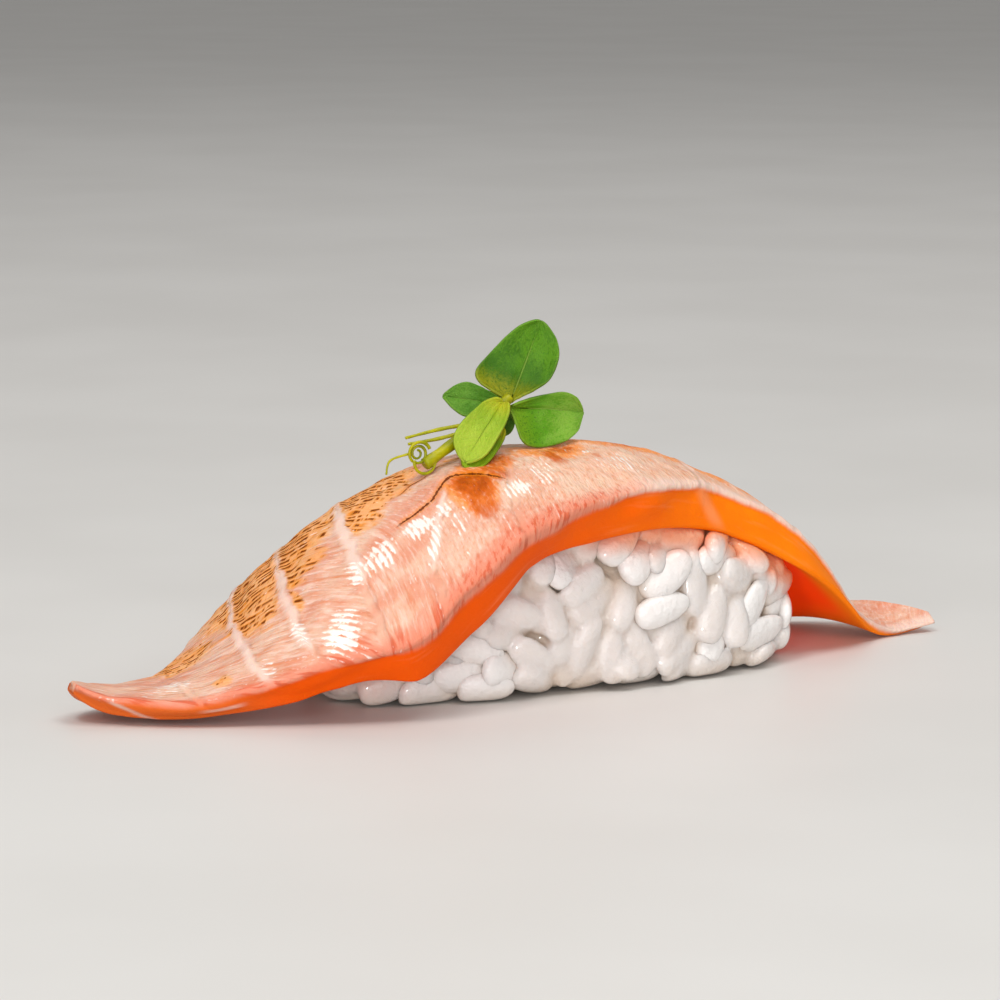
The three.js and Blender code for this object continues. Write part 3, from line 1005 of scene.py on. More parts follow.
    @staticmethod
    def fibres(x: np.ndarray, across: np.ndarray) -> np.ndarray:
        """Coordinates that follow the muscle fibres, which turn at each seam of fat.

        Args:
            x: Along the slice.
            across: Over the slice.

        Returns:
            Rows of millimetres along the fibres, across them, and which block they are in.
        """
        block = np.zeros(x.shape)
        for seam in (BAND_LEFT, BAND_SECOND, BAND_MIDDLE):
            block += seam.offset(x, across) > 0
        turn = np.radians(np.select([block == 0, block == 1], [36.0, 46.0], 54.0))
        pivot_x, pivot_across, block_gap = -30, -4, 9.0
        dx, da = x - pivot_x, across - pivot_across
        along = dx * np.cos(turn) - da * np.sin(turn)
        over = dx * np.sin(turn) + da * np.cos(turn)
        rise = np.linspace(-20, 15, 200)
        climb = np.cumsum(smooth(-9, -2, rise)) * (rise[1] - rise[0])
        lean = 0.5 * smooth(6, -9, x) - 0.4 * smooth(-9, 6, x)
        right = block == 3
        over = np.where(right, 0.9 * x + lean * np.interp(across, rise, climb), over)
        along = np.where(right, 0.9 * across - lean * x, along)
        return np.stack([along, over, block_gap * block], -1)

    def dress(self) -> bpy.types.Object:
        """Builds the slice, gives it its finish and fits it to the frame.

        Returns:
            The piece.
        """
        piece = self.build()
        piece.data.materials.append(SalmonFinish().make())
        return fit(piece, Slot.SALMON, Node.SALMON)


class Flesh:
    """What the salmon's finish reads throughout: numbers kept on its mesh, and its noises."""

    def __init__(self, recipe: Recipe, fibre_pitch: float) -> None:
        """Adds the nodes that read them.

        Args:
            recipe: The salmon's recipe.
            fibre_pitch: Millimetres from one muscle fibre to the next.
        """
        self.recipe = recipe
        self.place, self.lie = recipe.place("flesh"), recipe.place("fibre")
        self.x = recipe.parts(self.place)[0]
        self.along, self.over, self.block = recipe.parts(self.lie)
        self.cut = recipe.attribute("cut")
        self.cloud = recipe.noise(recipe.stretch(self.place, (0.16, 0.28, 0.3)), 3, 1.0)
        self.strands = self.noise(0.16, 0.75, 2, 3.0)
        self.speckle = self.noise(1.5, 3.2, 2, 4.0)
        self.blotch = self.noise(0.4, 1.0, 3, 5.0)
        lines, crumple = self.noise(0.26, 1 / fibre_pitch, 2, 2.0), self.noise(1.3, 2.3, 3, 8.0)
        crumpled = lines + (crumple - lines) * self.x.step(-22, -15) * 0.8
        calm = recipe.attribute("joint").step(0.05, 0.45)
        self.threads = (crumpled - 0.5) * calm + 0.5
        self.hairs = (self.noise(0.9, 4.4, 2, 6.0) - 0.5) * calm + 0.5
        ragged = recipe.attribute("band") + (self.cloud - 0.5) * 1.2 + (self.speckle - 0.5)
        self.fat = ragged.step(1.5, 0.1)

    def noise(self, along: float, over: float, detail: float, seed: float) -> Value:
        """Noise that follows the fibres.

        Args:
            along: Blobs to the millimetre along them.
            over: Blobs to the millimetre across them.
            detail: How many finer sizes are added.
            seed: Offset that gives another cloud.

        Returns:
            The noise, from 0 to 1 and mostly near a half.
        """
        return self.recipe.noise(self.recipe.stretch(self.lie, (along, over, 1.0)), detail, seed)

    def spots(self, pitch: float, row: Value, shift: tuple[float, float], seed: float) -> Value:
        """Noise along one row of char marks, other in each row.

        Args:
            pitch: Blobs to the millimetre along the row.
            row: The row's number.
            shift: How far the noise is moved from one row to the next.
            seed: Offset that gives another cloud.

        Returns:
            The noise, from 0 to 1.
        """
        spot = {0: self.along * pitch + row * shift[0], 1: row * shift[1], 2: self.block}
        return self.recipe.noise(self.recipe.node("ShaderNodeCombineXYZ", {}, spot), 1, seed)


@dataclass(frozen=True)
class SalmonFinish:
    """Oily seared salmon: pale cooked top, golden char with dark flecks, orange cut faces, painted
    highlights on the top and a painted glow under the flared tail.
    """

    pale: str = "E3B8A0"
    pink: str = "DE9A80"
    streak: str = "D87C4C"
    ridge: str = "F2DACC"
    fat: str = "EED0C2"
    cream: str = "F6D2B4"
    warm: str = "FA9030"
    golden: str = "FAAE58"
    toast: str = "DE8010"
    char: str = "6A2A00"
    scorch: str = "CC5A00"
    singe: str = "943C00"
    # Colour of the painted highlights.
    painted_glint: str = "FFF7F0"
    coral: str = "E2866A"
    hatch: str = "D04E26"
    cut_left: str = "EC5600"
    cut_right: str = "FF8004"
    cut_line: str = "F9A070"
    tail: str = "D66A2C"
    # deep: colour of the painted glow under the flared tail, in its base colour and its emission.
    deep: str = "FF4200"
    fibre_pitch: float = 0.42
    row_pitch: float = 0.66
    wrinkle_pitch: float = 0.5
    # Strength of the painted glow under the flared tail.
    glow_strength: float = 0.2
    relief: float = 0.4

    def make(self) -> bpy.types.Material:
        """Builds the material from the numbers on the slice's mesh.

        Returns:
            The material.
        """
        r = Recipe("seared_salmon")
        f = Flesh(r, self.fibre_pitch)
        ground = self.scorched(f, self.rimmed(f, self.cooked(f)))
        ground, burnt, toast, dash = self.seared(f, ground)
        ground, slit = self.cracked(f, ground)
        # Painted highlights: the glints are laid into the base colour as near-white, with a little
        # coat over them.
        painted_glint = self.painted_glints(f) * (1 - slit) * (1 - dash)
        ground = r.paint(ground, painted_glint * 0.85, self.painted_glint)
        # Painted light: the underside of the flared tail is painted deep red-orange and glows,
        # though it is no lamp.
        painted_glow = r.attribute("under") * f.x.step(24, 29) * f.x.step(41, 36)
        inner = r.paint(self.inside(f), painted_glow, self.deep)
        colour = r.mix((f.cut + (f.threads - 0.5) * 0.3).step(0.05, 0.95), ground, inner)

        top = 1 - f.cut
        pores = r.noise(r.stretch(f.place, (2.6, 4.5, 2.2)), 2, 15.0)
        fibrous = (1 - f.fat * 0.5) * top * r.attribute("joint").step(0.15, 0.7)
        fibres = (f.threads * 0.6 + f.hairs * 0.3) * fibrous
        height = fibres + pores * 0.15 - toast * 0.1 - slit * 0.4
        wet = (pores * 0.4 + f.cloud * 0.6).step(0.35, 0.65) * top
        return r.finish(
            Base_Color=colour,
            Roughness=0.6 + burnt * 0.15 - wet * (1 - burnt) * 0.25,
            Coat_Weight=painted_glint * 0.6,
            Coat_Roughness=0.12,
            Normal=r.bump(height, self.relief),
            Subsurface_Weight=0.15,
            Subsurface_Radius=(1.0, 0.35, 0.16),
            Subsurface_Scale=MM,
            Emission_Color=r.mix(painted_glow, (0, 0, 0, 1), tint(self.deep)),
            Emission_Strength=self.glow_strength,
            Specular_IOR_Level=0.14,
            IOR=1.36,
        )

    def cooked(self, f: Flesh) -> Value:
        """The pale top with its warm places, fibres and seams of fat.

        Args:
            f: What the finish reads.

        Returns:
            The colour.
        """
        r = f.recipe
        pinker = (f.cloud * 0.8 + f.strands * 0.2).step(0.4, 0.6)
        ground = r.mix(pinker, tint(self.pale), tint(self.pink))
        creamy = f.x.step(-12, 0) * f.x.step(44, 30) * (f.cloud * 1.5).least(1)
        ground = r.paint(ground, creamy * 0.55, self.cream)
        warm = r.attribute("warm") + f.x.step(5, 16) * f.x.step(40, 30) * 0.35
        warm = (warm + (f.strands - 0.5) * 2.2 + (f.threads - 0.5) * 0.9).step(0.25, 1.1)
        ground = r.paint(ground, warm * 0.8, self.warm)
        ground = r.paint(ground, f.threads.step(0.53, 0.68) * 0.4, self.streak)
        ground = r.paint(ground, f.threads.step(0.48, 0.34) * 0.4, self.ridge)
        ground = r.paint(ground, f.hairs.step(0.55, 0.66) * 0.3, self.streak)
        ground = r.paint(ground, f.hairs.step(0.45, 0.36) * 0.25, self.ridge)
        return r.paint(ground, f.fat * 0.85, self.fat)

    def rimmed(self, f: Flesh, ground: Value) -> Value:
        """The top with its coral near rim, which turns pale past the crest.

        Args:
            f: What the finish reads.
            ground: The colour so far.

        Returns:
            The colour.
        """
        r = f.recipe
        frayed = r.attribute("rim") + (f.threads - 0.5) * 0.5 + (f.strands - 0.5) * 0.5
        coral = frayed.step(0.15, 1.0) * f.x.step(10, -2)
        ground = r.paint(ground, frayed.step(0.2, 0.9) * f.x.step(0, 10) * 0.75, self.fat)
        ground = r.paint(ground, coral * 0.9, self.coral)
        return r.paint(ground, coral * f.threads.step(0.5, 0.6) * 0.6, self.hatch)

    def scorched(self, f: Flesh, ground: Value) -> Value:
        """The top with the brown patches by the lifted flap and on the crest.

        Args:
            f: What the finish reads.
            ground: The colour so far.

        Returns:
            The colour.
        """
        r = f.recipe
        scorch = r.attribute("scorch")
        brown = (scorch + (f.blotch - 0.5) * 1.5 + (f.threads - 0.5) * 1.3).step(0.0, 1.2)
        darker = (scorch + (f.blotch - 0.5) * 2.4 + (f.speckle - 0.5)).step(0.95, 1.5)
        ground = r.paint(ground, brown * 0.95, self.scorch)
        return r.paint(ground, darker * 0.6, self.singe)

    def seared(self, f: Flesh, ground: Value) -> tuple[Value, Value, Value, Value]:
        """The top with its golden sear and rows of charred dashes.

        Args:
            f: What the finish reads.
            ground: The colour so far.

        Returns:
            The colour, how golden it is, its toasted stripes and its dark dashes.
        """
        r = f.recipe
        sear = r.attribute("sear")
        heat = sear + r.attribute("border") * 0.35 * sear.step(0.0, 0.5)
        uneven = heat + (f.blotch - 0.5) * 1.6 + (f.threads - 0.5) * 0.5 - f.fat * 0.7
        burnt = uneven.step(0.2, 0.9)
        ground = r.paint(ground, burnt * 0.6, self.golden)
        sway = f.noise(0.35, 0.5, 1, 7.0)
        rows = (f.over + (sway - 0.5) * 1.6) / self.row_pitch
        row = r.node("ShaderNodeMath", {"operation": "FLOOR"}, {0: rows})
        ripple = abs(rows - row - 0.5) + (f.speckle - 0.5) * 0.5
        stripe = f.spots(0.7, row, (17.3, 5.1), 9.0) + (heat - 0.8) * 0.14
        dot = f.spots(1.9, row, (13.7, 3.3), 10.0) + (heat - 0.8) * 0.1
        spots = stripe * 0.45 + dot * 0.55
        toast = stripe.step(0.46, 0.6) * ripple.step(0.46, 0.2) * burnt
        halo = spots.step(0.48, 0.55) * ripple.step(0.48, 0.25) * burnt
        dash = spots.step(0.505, 0.565) * ripple.step(0.28, 0.09) * burnt
        ground = r.paint(ground, toast.most(halo) * 0.8, self.toast)
        return r.paint(ground, dash * 0.95, self.char), burnt, toast, dash

    def cracked(self, f: Flesh, ground: Value) -> tuple[Value, Value]:
        """The top with its two dark cracks and the toasted flesh beside them.

        Args:
            f: What the finish reads.
            ground: The colour so far.

        Returns:
            The colour, and where the cracks are.
        """
        r = f.recipe
        slit, toasted = 0.0, 0.0
        for name, width in (("crack", 0.09), ("short_crack", 0.07)):
            gap, beside, _ = r.parts(r.place(name))
            line = (abs(gap) + (f.speckle - 0.5) * 0.3).step(width, width * 0.4)
            slit = line * beside + slit
            toasted = (abs(gap) + (f.threads - 0.5) * 0.5).step(0.5, 0.1) * beside + toasted
        slit = slit.least(1.0)
        ground = r.paint(ground, toasted.least(1.0) * 0.55, self.toast)
        # The cracks are painted near-black brown: partly their charred edges, partly painted shade
        # in the groove.
        return r.paint(ground, slit * 0.92, self.char), slit

    def painted_glints(self, f: Flesh) -> Value:
        """Painted highlights: wet glints for the colour, broken up by the fine wrinkles across the
        fibres.

        Args:
            f: What the finish reads.

        Returns:
            How bright they are, from 0 to 1.
        """
        wrinkles = f.over * (2 * math.pi / self.wrinkle_pitch) + (f.strands + f.speckle) * 5
        shine = wrinkles.sin() * 0.35 + (f.speckle - 0.5) * 2.2 + (f.strands - 0.5) * 2.0
        return (f.recipe.attribute("glint_spot") * 0.9 + shine).step(0.55, 1.2)

    def inside(self, f: Flesh) -> Value:
        """The orange of the cut faces, with their pale lines.

        Args:
            f: What the finish reads.

        Returns:
            The colour.
        """
        r = f.recipe
        brighter = (f.x + (f.cloud - 0.5) * 14).step(-8, 30)
        inner = r.mix(brighter, tint(self.cut_left), tint(self.cut_right))
        layers = r.noise(r.stretch(f.place, (0.12, 0.12, 1.6)), 3, 11.0)
        inner = r.paint(inner, layers.step(0.56, 0.74) * 0.2, self.cut_line)
        inner = r.paint(inner, r.attribute("vein") * 0.45, self.cut_line)
        inner = r.paint(inner, f.x.step(-33, -42) * 0.8, self.tail)
        return r.paint(inner, r.attribute("crease") * (f.cloud + 0.3).least(1), self.ridge)


# ---- the rice ---------------------------------------------------------------------------------


@dataclass(frozen=True)
class RiceWall:
    """The side of the pressed finger of rice: a rounded oblong that leans in at foot and top."""

    x: float = 2.2
    y: float = 0.9
    half_length: float = 26.9
    half_width: float = 10.9
    squareness: float = 2.4
    foot_height: float = 2.5
    foot_inset: float = 1.3
    belly_height: float = 6.0
    shoulder_inset: float = 5.5
    height: float = 22.0

    def inset(self, z: np.ndarray) -> np.ndarray:
        """How far the wall stands in from its widest outline at height z.

        Args:
            z: Heights.

        Returns:
            Millimetres for each height.
        """
        foot = np.maximum(1 - z / self.foot_height, 0)
        shoulder = np.maximum((z - self.belly_height) / (self.height - self.belly_height), 0)
        return self.foot_inset * foot**2 + self.shoulder_inset * shoulder**2

    def depth(self, spots: np.ndarray) -> np.ndarray:
        """How far places lie inside the wall, towards its axis, and below 0 outside.

        Args:
            spots: Rows of places.

        Returns:
            Millimetres for each place.
        """
        inset = self.inset(spots[:, 2])
        dx, dy = spots[:, 0] - self.x, spots[:, 1] - self.y
        u, v = np.abs(dx) / (self.half_length - inset), np.abs(dy) / (self.half_width - inset)
        level = (u**self.squareness + v**self.squareness) ** (1 / self.squareness)
        return np.hypot(dx, dy) * (1 / np.maximum(level, 0.1) - 1)

    def point(self, angle: np.ndarray, z: np.ndarray, inward: float = 0.0) -> np.ndarray:
        """Places on the wall.

        Args:
            angle: Radians round the wall, from +X.
            z: Heights.
            inward: How far inside the wall.

        Returns:
            One row for each place.
        """
        power = 2 / self.squareness
        c, s = np.cos(angle), np.sin(angle)
        inset = self.inset(z) + inward
        x = self.x + (self.half_length - inset) * np.sign(c) * np.abs(c) ** power
        y = self.y + (self.half_width - inset) * np.sign(s) * np.abs(s) ** power
        return np.stack([x, y, z + 0 * x], -1)


class Seat:
    """Where a grain lies: its middle, its axis and the side that faces out."""

    STEP = 0.01

    def __init__(self, wall: RiceWall, angle: float, z: float, slant: float, lean: float) -> None:
        """Works out the seat on the wall.

        Args:
            wall: The heap's wall.
            angle: Radians round the wall.
            z: Height.
            slant: The grain's turn in the wall, in radians.
            lean: How much it tips out of the wall.
        """
        move = self.STEP * np.array([[0, 1, -1, 0, 0], [0, 0, 0, 1, -1]])
        spots = wall.point(angle + move[0], z + move[1])
        self.middle = spots[0]
        around = self._unit(spots[1] - spots[2])
        rise = self._unit(spots[3] - spots[4])
        self.out = self._unit(np.cross(around, rise))
        axis = math.cos(slant) * around + math.sin(slant) * rise + lean * self.out
        self.axis = self._unit(axis)

    @staticmethod
    def _unit(vector: np.ndarray) -> np.ndarray:
        """A vector of length 1."""
        return vector / np.linalg.norm(vector)


class Grain:
    """One plump, slightly bent grain with its germ notch, laid in a seat."""

    BLUNTNESS, FULLNESS = 2.8, 0.42
    LEAST_GIRTH, MOST_GIRTH = 0.08, 1.5
    ROLL = 0.35

    def __init__(
        self,
        seat: Seat,
        size: tuple[float, float, float],
        spread: float,
        rng: np.random.Generator,
    ) -> None:
        """Draws the grain's form and turns it into its seat.

        Args:
            seat: Where it lies.
            size: Its width, thickness and length.
            spread: How far each size may differ, as a share.
            rng: Source of random draws.
        """
        self.half = np.array(size) / 2 * (1 + spread * rng.uniform(-1, 1, 3))
        self.taper = rng.uniform(0.02, 0.24)
        self.bend = rng.uniform(-0.5, 0.5)
        self.notch = rng.uniform(0.0, 0.35)
        self.middle = seat.middle
        side = np.cross(seat.out, seat.axis)
        side /= np.linalg.norm(side)
        over = np.cross(seat.axis, side)
        roll = rng.uniform(-self.ROLL, self.ROLL)
        first = math.cos(roll) * side + math.sin(roll) * over
        self.axes = np.stack([first, np.cross(seat.axis, first), seat.axis])

    def lay(self, ball: np.ndarray) -> np.ndarray:
        """Where points of a sphere of radius 1 lie on the grain.

        Args:
            ball: Rows of points on the sphere.

        Returns:
            One row for each point.
        """
        up = ball[:, 2]
        girth = np.maximum(np.sqrt(1 - up**2), self.LEAST_GIRTH)
        plump = (1 - np.abs(up) ** self.BLUNTNESS) ** self.FULLNESS / girth
        plump = np.where(np.abs(up) > 0.999, 1, np.minimum(plump, self.MOST_GIRTH))
        plump *= 1 - self.taper * up
        form = ball * self.half
        form[:, :2] *= plump[:, None]
        form[:, 0] += self.bend * (up**2 - 0.4)
        dent = self.notch * smooth(0.5, 0.95, up) * smooth(-0.1, 0.6, ball[:, 0])
        form -= dent[:, None] * (1, 0, 0.6)
        return self.middle + form @ self.axes


class GrainKind(Enum):
    """The two looks of the cooked grains."""

    CLEAR = "rice_grains"
    CLOUDY = "rice_grains_cloudy"


@dataclass(frozen=True)
class Layer:
    """One layer of grains: how proud of the wall, how far apart, and how many tries it gets."""

    proud: float
    room: float
    tries: int


@dataclass
class RiceHeap:
    """The pressed rice: a soft core under about two hundred cooked grains."""

    BALL = {"u_segments": 8, "v_segments": 6, "radius": 1.0}
    SEED = 41
    UP = Vector((0, 0, 1))

    wall: RiceWall
    slice_tree: BVHTree
    length: float = 6.6
    width: float = 4.0
    thick: float = 2.3
    spread: float = 0.12
    table_gap: float = 0.15
    slice_gap: float = 0.1
    upright_share: float = 0.4
    lying_height: float = 3.4
    cloudy_share: float = 0.3
    core_inward: float = 1.2
    core_foot: float = 0.5
    overhang: float = 4.5
    voxel: float = 0.26
    smoothings: int = 2
    bounce_reach: float = 3.4
    lowest: float = 0.9
    highest: float = 20.5
    line_half: float = 0.34
    foot_room: float = 0.8
    core_rings: int = 16
    core_sides: int = 64
    core_lumps: float = 0.25
    core_roof_gap: float = 0.5
    layers: tuple[Layer, ...] = (
        Layer(-0.3, 1.85, 8000), Layer(-0.7, 1.35, 12000), Layer(-1.1, 1.05, 10000),
    )

    def ceiling(self, place: np.ndarray) -> float | None:
        """How far the slice is above a place, below 0 inside or over it, or None clear of it.

        Args:
            place: The place.

        Returns:
            Millimetres, or None.
        """
        start = Vector(place * MM)
        hit, normal, _, reach = self.slice_tree.ray_cast(start, self.UP)
        if hit is None:
            under, _, _, _ = self.slice_tree.ray_cast(start, -self.UP)
            return None if under is None else -1.0
        return -1.0 if normal.z > 0 else reach / MM

    def slant(self, z: float, rng: np.random.Generator) -> float:
        """Draws a grain's turn in the wall: lying along the table, else upright or rising.

        Args:
            z: How high the grain's middle is.
            rng: Source of random draws.

        Returns:
            Radians.
        """
        if z < self.lying_height:
            return rng.normal(0.1, 0.25)
        upright = rng.uniform() < self.upright_share
        return rng.normal(math.pi / 2, 0.45) if upright else rng.normal(0.35, 0.5)

    def seats(self, rng: np.random.Generator) -> list[tuple[Seat, float]]:
        """Finds room for grains on the wall, layer under layer.

        Args:
            rng: Source of random draws.

        Returns:
            Seats, and how far each stands out of the wall.
        """
        taken = np.empty((0, 3))
        found = []
        stops = np.linspace(-self.line_half, self.line_half, 5)[:, None] * self.length
        for layer in self.layers:
            for _ in range(layer.tries):
                angle, z = rng.uniform(0, 2 * math.pi), rng.uniform(self.lowest, self.highest)
                slant, lean = self.slant(z, rng), rng.normal(-0.1, 0.15)
                seat = Seat(self.wall, angle, z, slant, lean)
                seat.middle = seat.middle + seat.out * (layer.proud + rng.normal(0, 0.12))
                line = seat.middle + stops * seat.axis
                if line[:, 2].min() < self.table_gap + self.foot_room:
                    continue
                gaps = taken[:, None] - line[None]
                if len(taken) and np.einsum("ijk,ijk->ij", gaps, gaps).min() < layer.room**2:
                    continue
                above = self.ceiling(seat.middle)
                if above is not None and above < self.slice_gap + 0.4:
                    continue
                taken = np.vstack([taken, line])
                found.append((seat, layer.proud))
        return found

    def roof(self, spot: np.ndarray) -> float | None:
        """Height of the slice over a spot, or over the nearest spot inward that it covers.

        Args:
            spot: The spot.

        Returns:
            The height in millimetres, or None where it covers no spot inward.
        """
        inward = math.copysign(1.0, self.wall.y - spot[1])
        for shift in np.arange(0.0, self.overhang, 0.8):
            start = Vector((spot[0] * MM, (spot[1] + inward * shift) * MM, 0))
            hit, normal, _, _ = self.slice_tree.ray_cast(start, self.UP)
            if hit is not None and normal.z < 0:
                return hit.z / MM
        return None

    def press(self, spots: np.ndarray) -> None:
        """Flattens places against the table and the slice's underside.

        Args:
            spots: Rows of places, changed in place.
        """
        for spot in spots:
            roof = self.roof(spot)
            if roof is not None:
                spot[2] = min(spot[2], roof - self.slice_gap)
            spot[2] = max(spot[2], self.table_gap)

    def marks(self, spots: np.ndarray, tones: np.ndarray) -> dict[str, np.ndarray]:
        """The numbers that the rice's finish reads.

        Args:
            spots: Places of the vertices.
            tones: How white each one's grain is.

        Returns:
            Numbers for each vertex, by name.
        """
        nearest = [self.slice_tree.find_nearest(Vector(spot * MM))[3] for spot in spots]
        room = np.array(nearest) / MM
        x = spots[:, 0]
        # Painted bounce light and shade: grains close under the slice are tinted pink-orange,
        # reaching further under the narrow tail.
        reach = self.bounce_reach * (0.7 + 0.5 * smooth(-8, 10, x) + 2.2 * smooth(-13, -20, x))
        return {
            "shade": tones,
            "painted_bounce": smooth(1.0, 0.1, room / reach),
            # sunk feeds the painted shade in the crevices between grains.
            "sunk": smooth(-0.5, 0.9, self.wall.depth(spots)),
        }

    def build_heap(self) -> list[bpy.types.Object]:
        """Makes the heap: clear grains pressed into one body with the core, and cloudy ones on it.

        Returns:
            The pieces.
        """
        rng = np.random.default_rng(self.SEED)
        shapes = {GrainKind.CLEAR: self.core_bmesh(), GrainKind.CLOUDY: bmesh.new()}
        grains = []
        tones = []
        for seat, proud in self.seats(rng):
            grain = Grain(seat, (self.width, self.thick, self.length), self.spread, rng)
            cloudy = rng.uniform() < self.cloudy_share and proud > -1
            made = bmesh.ops.create_uvsphere(
                shapes[GrainKind.CLOUDY if cloudy else GrainKind.CLEAR], **self.BALL
            )["verts"]
            spots = grain.lay(np.array([v.co for v in made]))
            self.press(spots)
            for vert, spot in zip(made, spots):
                vert.co = spot
            grains.append(grain)
            tones.append(rng.uniform())
        log.info("%d grains", len(grains))
        places = KDTree(3 * len(grains))
        for i, grain in enumerate(grains):
            for share in (-0.55, 0.0, 0.55):
                places.insert(grain.middle + grain.axes[2] * grain.half[2] * share, i)
        places.balance()
        pieces = []
        for kind, bm in shapes.items():
            if kind is GrainKind.CLEAR:
                bm = self.fuse(bm)
            spots = coordinates(bm)
            nearest = [tones[places.find(spot)[1]] for spot in spots]
            piece = to_object(kind.value, bm, self.marks(spots, np.array(nearest)))
            if kind is GrainKind.CLOUDY:
                subdivide(piece)
            piece.data.materials.append(RiceFinish(cloudy=kind is GrainKind.CLOUDY).make())
            pieces.append(fit(piece, Slot.RICE, Node.RICE))
        return pieces

    def fuse(self, bm: bmesh.types.BMesh) -> bmesh.types.BMesh:
        """Melts overlapping closed shapes into one soft skin.

        Args:
            bm: The shapes. It is freed here.

        Returns:
            The skin, in millimetres.
        """
        raw = to_object("raw_heap", bm)
        subdivide(raw)
        skin = raw.modifiers.new("skin", "REMESH")
        skin.mode = "VOXEL"
        skin.voxel_size = self.voxel * MM
        mesh = bpy.data.meshes.new_from_object(
            raw.evaluated_get(bpy.context.evaluated_depsgraph_get())
        )
        bpy.data.objects.remove(raw)
        fused = bmesh.new()
        fused.from_mesh(mesh)
        bpy.data.meshes.remove(mesh)
        bmesh.ops.scale(fused, vec=(1 / MM, 1 / MM, 1 / MM), verts=fused.verts)
        axes = {"use_axis_x": True, "use_axis_y": True, "use_axis_z": True}
        for _ in range(self.smoothings):
            bmesh.ops.smooth_vert(fused, verts=fused.verts, factor=0.5, **axes)
        return fused

    def core_bmesh(self) -> bmesh.types.BMesh:
        """Makes the soft core that closes the gaps between the grains.

        Returns:
            The core, in millimetres.
        """
        insets, inset = 7, 0.12
        bm, ends = swept_circle(self.core_sides, self.core_rings)
        for face in ends:
            for _ in range(insets):
                bmesh.ops.inset_region(bm, faces=[face], thickness=inset, use_even_offset=True)
            bmesh.ops.poke(bm, faces=[face])
        straight = coordinates(bm)
        angle = np.arctan2(straight[:, 1], straight[:, 0])
        share = np.minimum(np.hypot(straight[:, 0], straight[:, 1]), 1)
        rise = straight[:, 2] / self.core_rings
        z = self.core_foot + (self.wall.height - self.core_foot) * rise
        spots = self.wall.point(angle, z, self.core_inward)
        middle = np.array([self.wall.x, self.wall.y])
        spots[:, :2] = middle + (spots[:, :2] - middle) * share[:, None]
        for spot in spots:
            roof = self.roof(spot)
            if roof is not None:
                spot[2] = min(spot[2], roof - self.core_roof_gap)
        lumps = np.stack([waves(spots, 4.0, seed) for seed in (21, 22, 23)], -1)
        spots += self.core_lumps * lumps
        spots[:, 2] = np.maximum(spots[:, 2], self.table_gap)
        move_to(bm, spots)
        face_out(bm)
        return bm


@dataclass(frozen=True)
class RiceFinish:
    """Moist cooked rice, clearer or cloudier, with painted pink-orange bounce light and shade under
    the fish.
    """

    cloudy: bool = False
    white: str = "E3DDDA"
    clear: str = "D9D0CB"
    opaque: str = "EFECEA"
    # Colour of the painted bounce light and shade from the slice.
    painted_bounce: str = "EA8C58"
    # Colour of the painted shade in the crevices and along the foot.
    gap: str = "D2BBA4"

    def make(self) -> bpy.types.Material:
        """Builds the material from the numbers on the grains.

        Returns:
            The material.
        """
        r = Recipe("rice_cloudy" if self.cloudy else "rice_clear")
        shade, painted_bounce, sunk = (r.attribute(key) for key in ("shade", "painted_bounce", "sunk"))
        place = r.object_place()
        cloud = r.noise(r.stretch(place, (0.35, 0.35, 0.35)), 2, 3.0)
        low, high = (self.white, self.opaque) if self.cloudy else (self.clear, self.white)
        foot = (r.parts(place)[2] + cloud * 2).step(3.4, 0.8)
        # Painted bounce light and shade from the slice, strongest close under it.
        pink = (painted_bounce + (cloud - 0.5) * 0.5).step(0.0, 1.05)
        ground = r.mix(shade * 0.6 + cloud * 0.4, tint(low), tint(high))
        # Painted shade: darker tan in the crevices between grains and along the foot by the table.
        ground = r.paint(ground, sunk * 0.7, self.gap)
        ground = r.paint(ground, foot * 0.45, self.gap)
        grit = r.noise(r.stretch(place, (1.3, 1.3, 1.3)), 3, 6.0)
        return r.finish(
            Base_Color=r.paint(ground, pink * 0.85, self.painted_bounce),
            Roughness=0.3 + grit * 0.2,
            Coat_Weight=0.4 + cloud * 0.6,
            Coat_Roughness=0.06,
            Normal=r.bump(grit, 0.25),
            Subsurface_Weight=0.1 if self.cloudy else 0.8,
            Subsurface_Radius=(1.0, 0.92, 0.84),
            Subsurface_Scale=1.6 * MM,
            IOR=1.38,
        )


# ---- the pea shoot ----------------------------------------------------------------------------


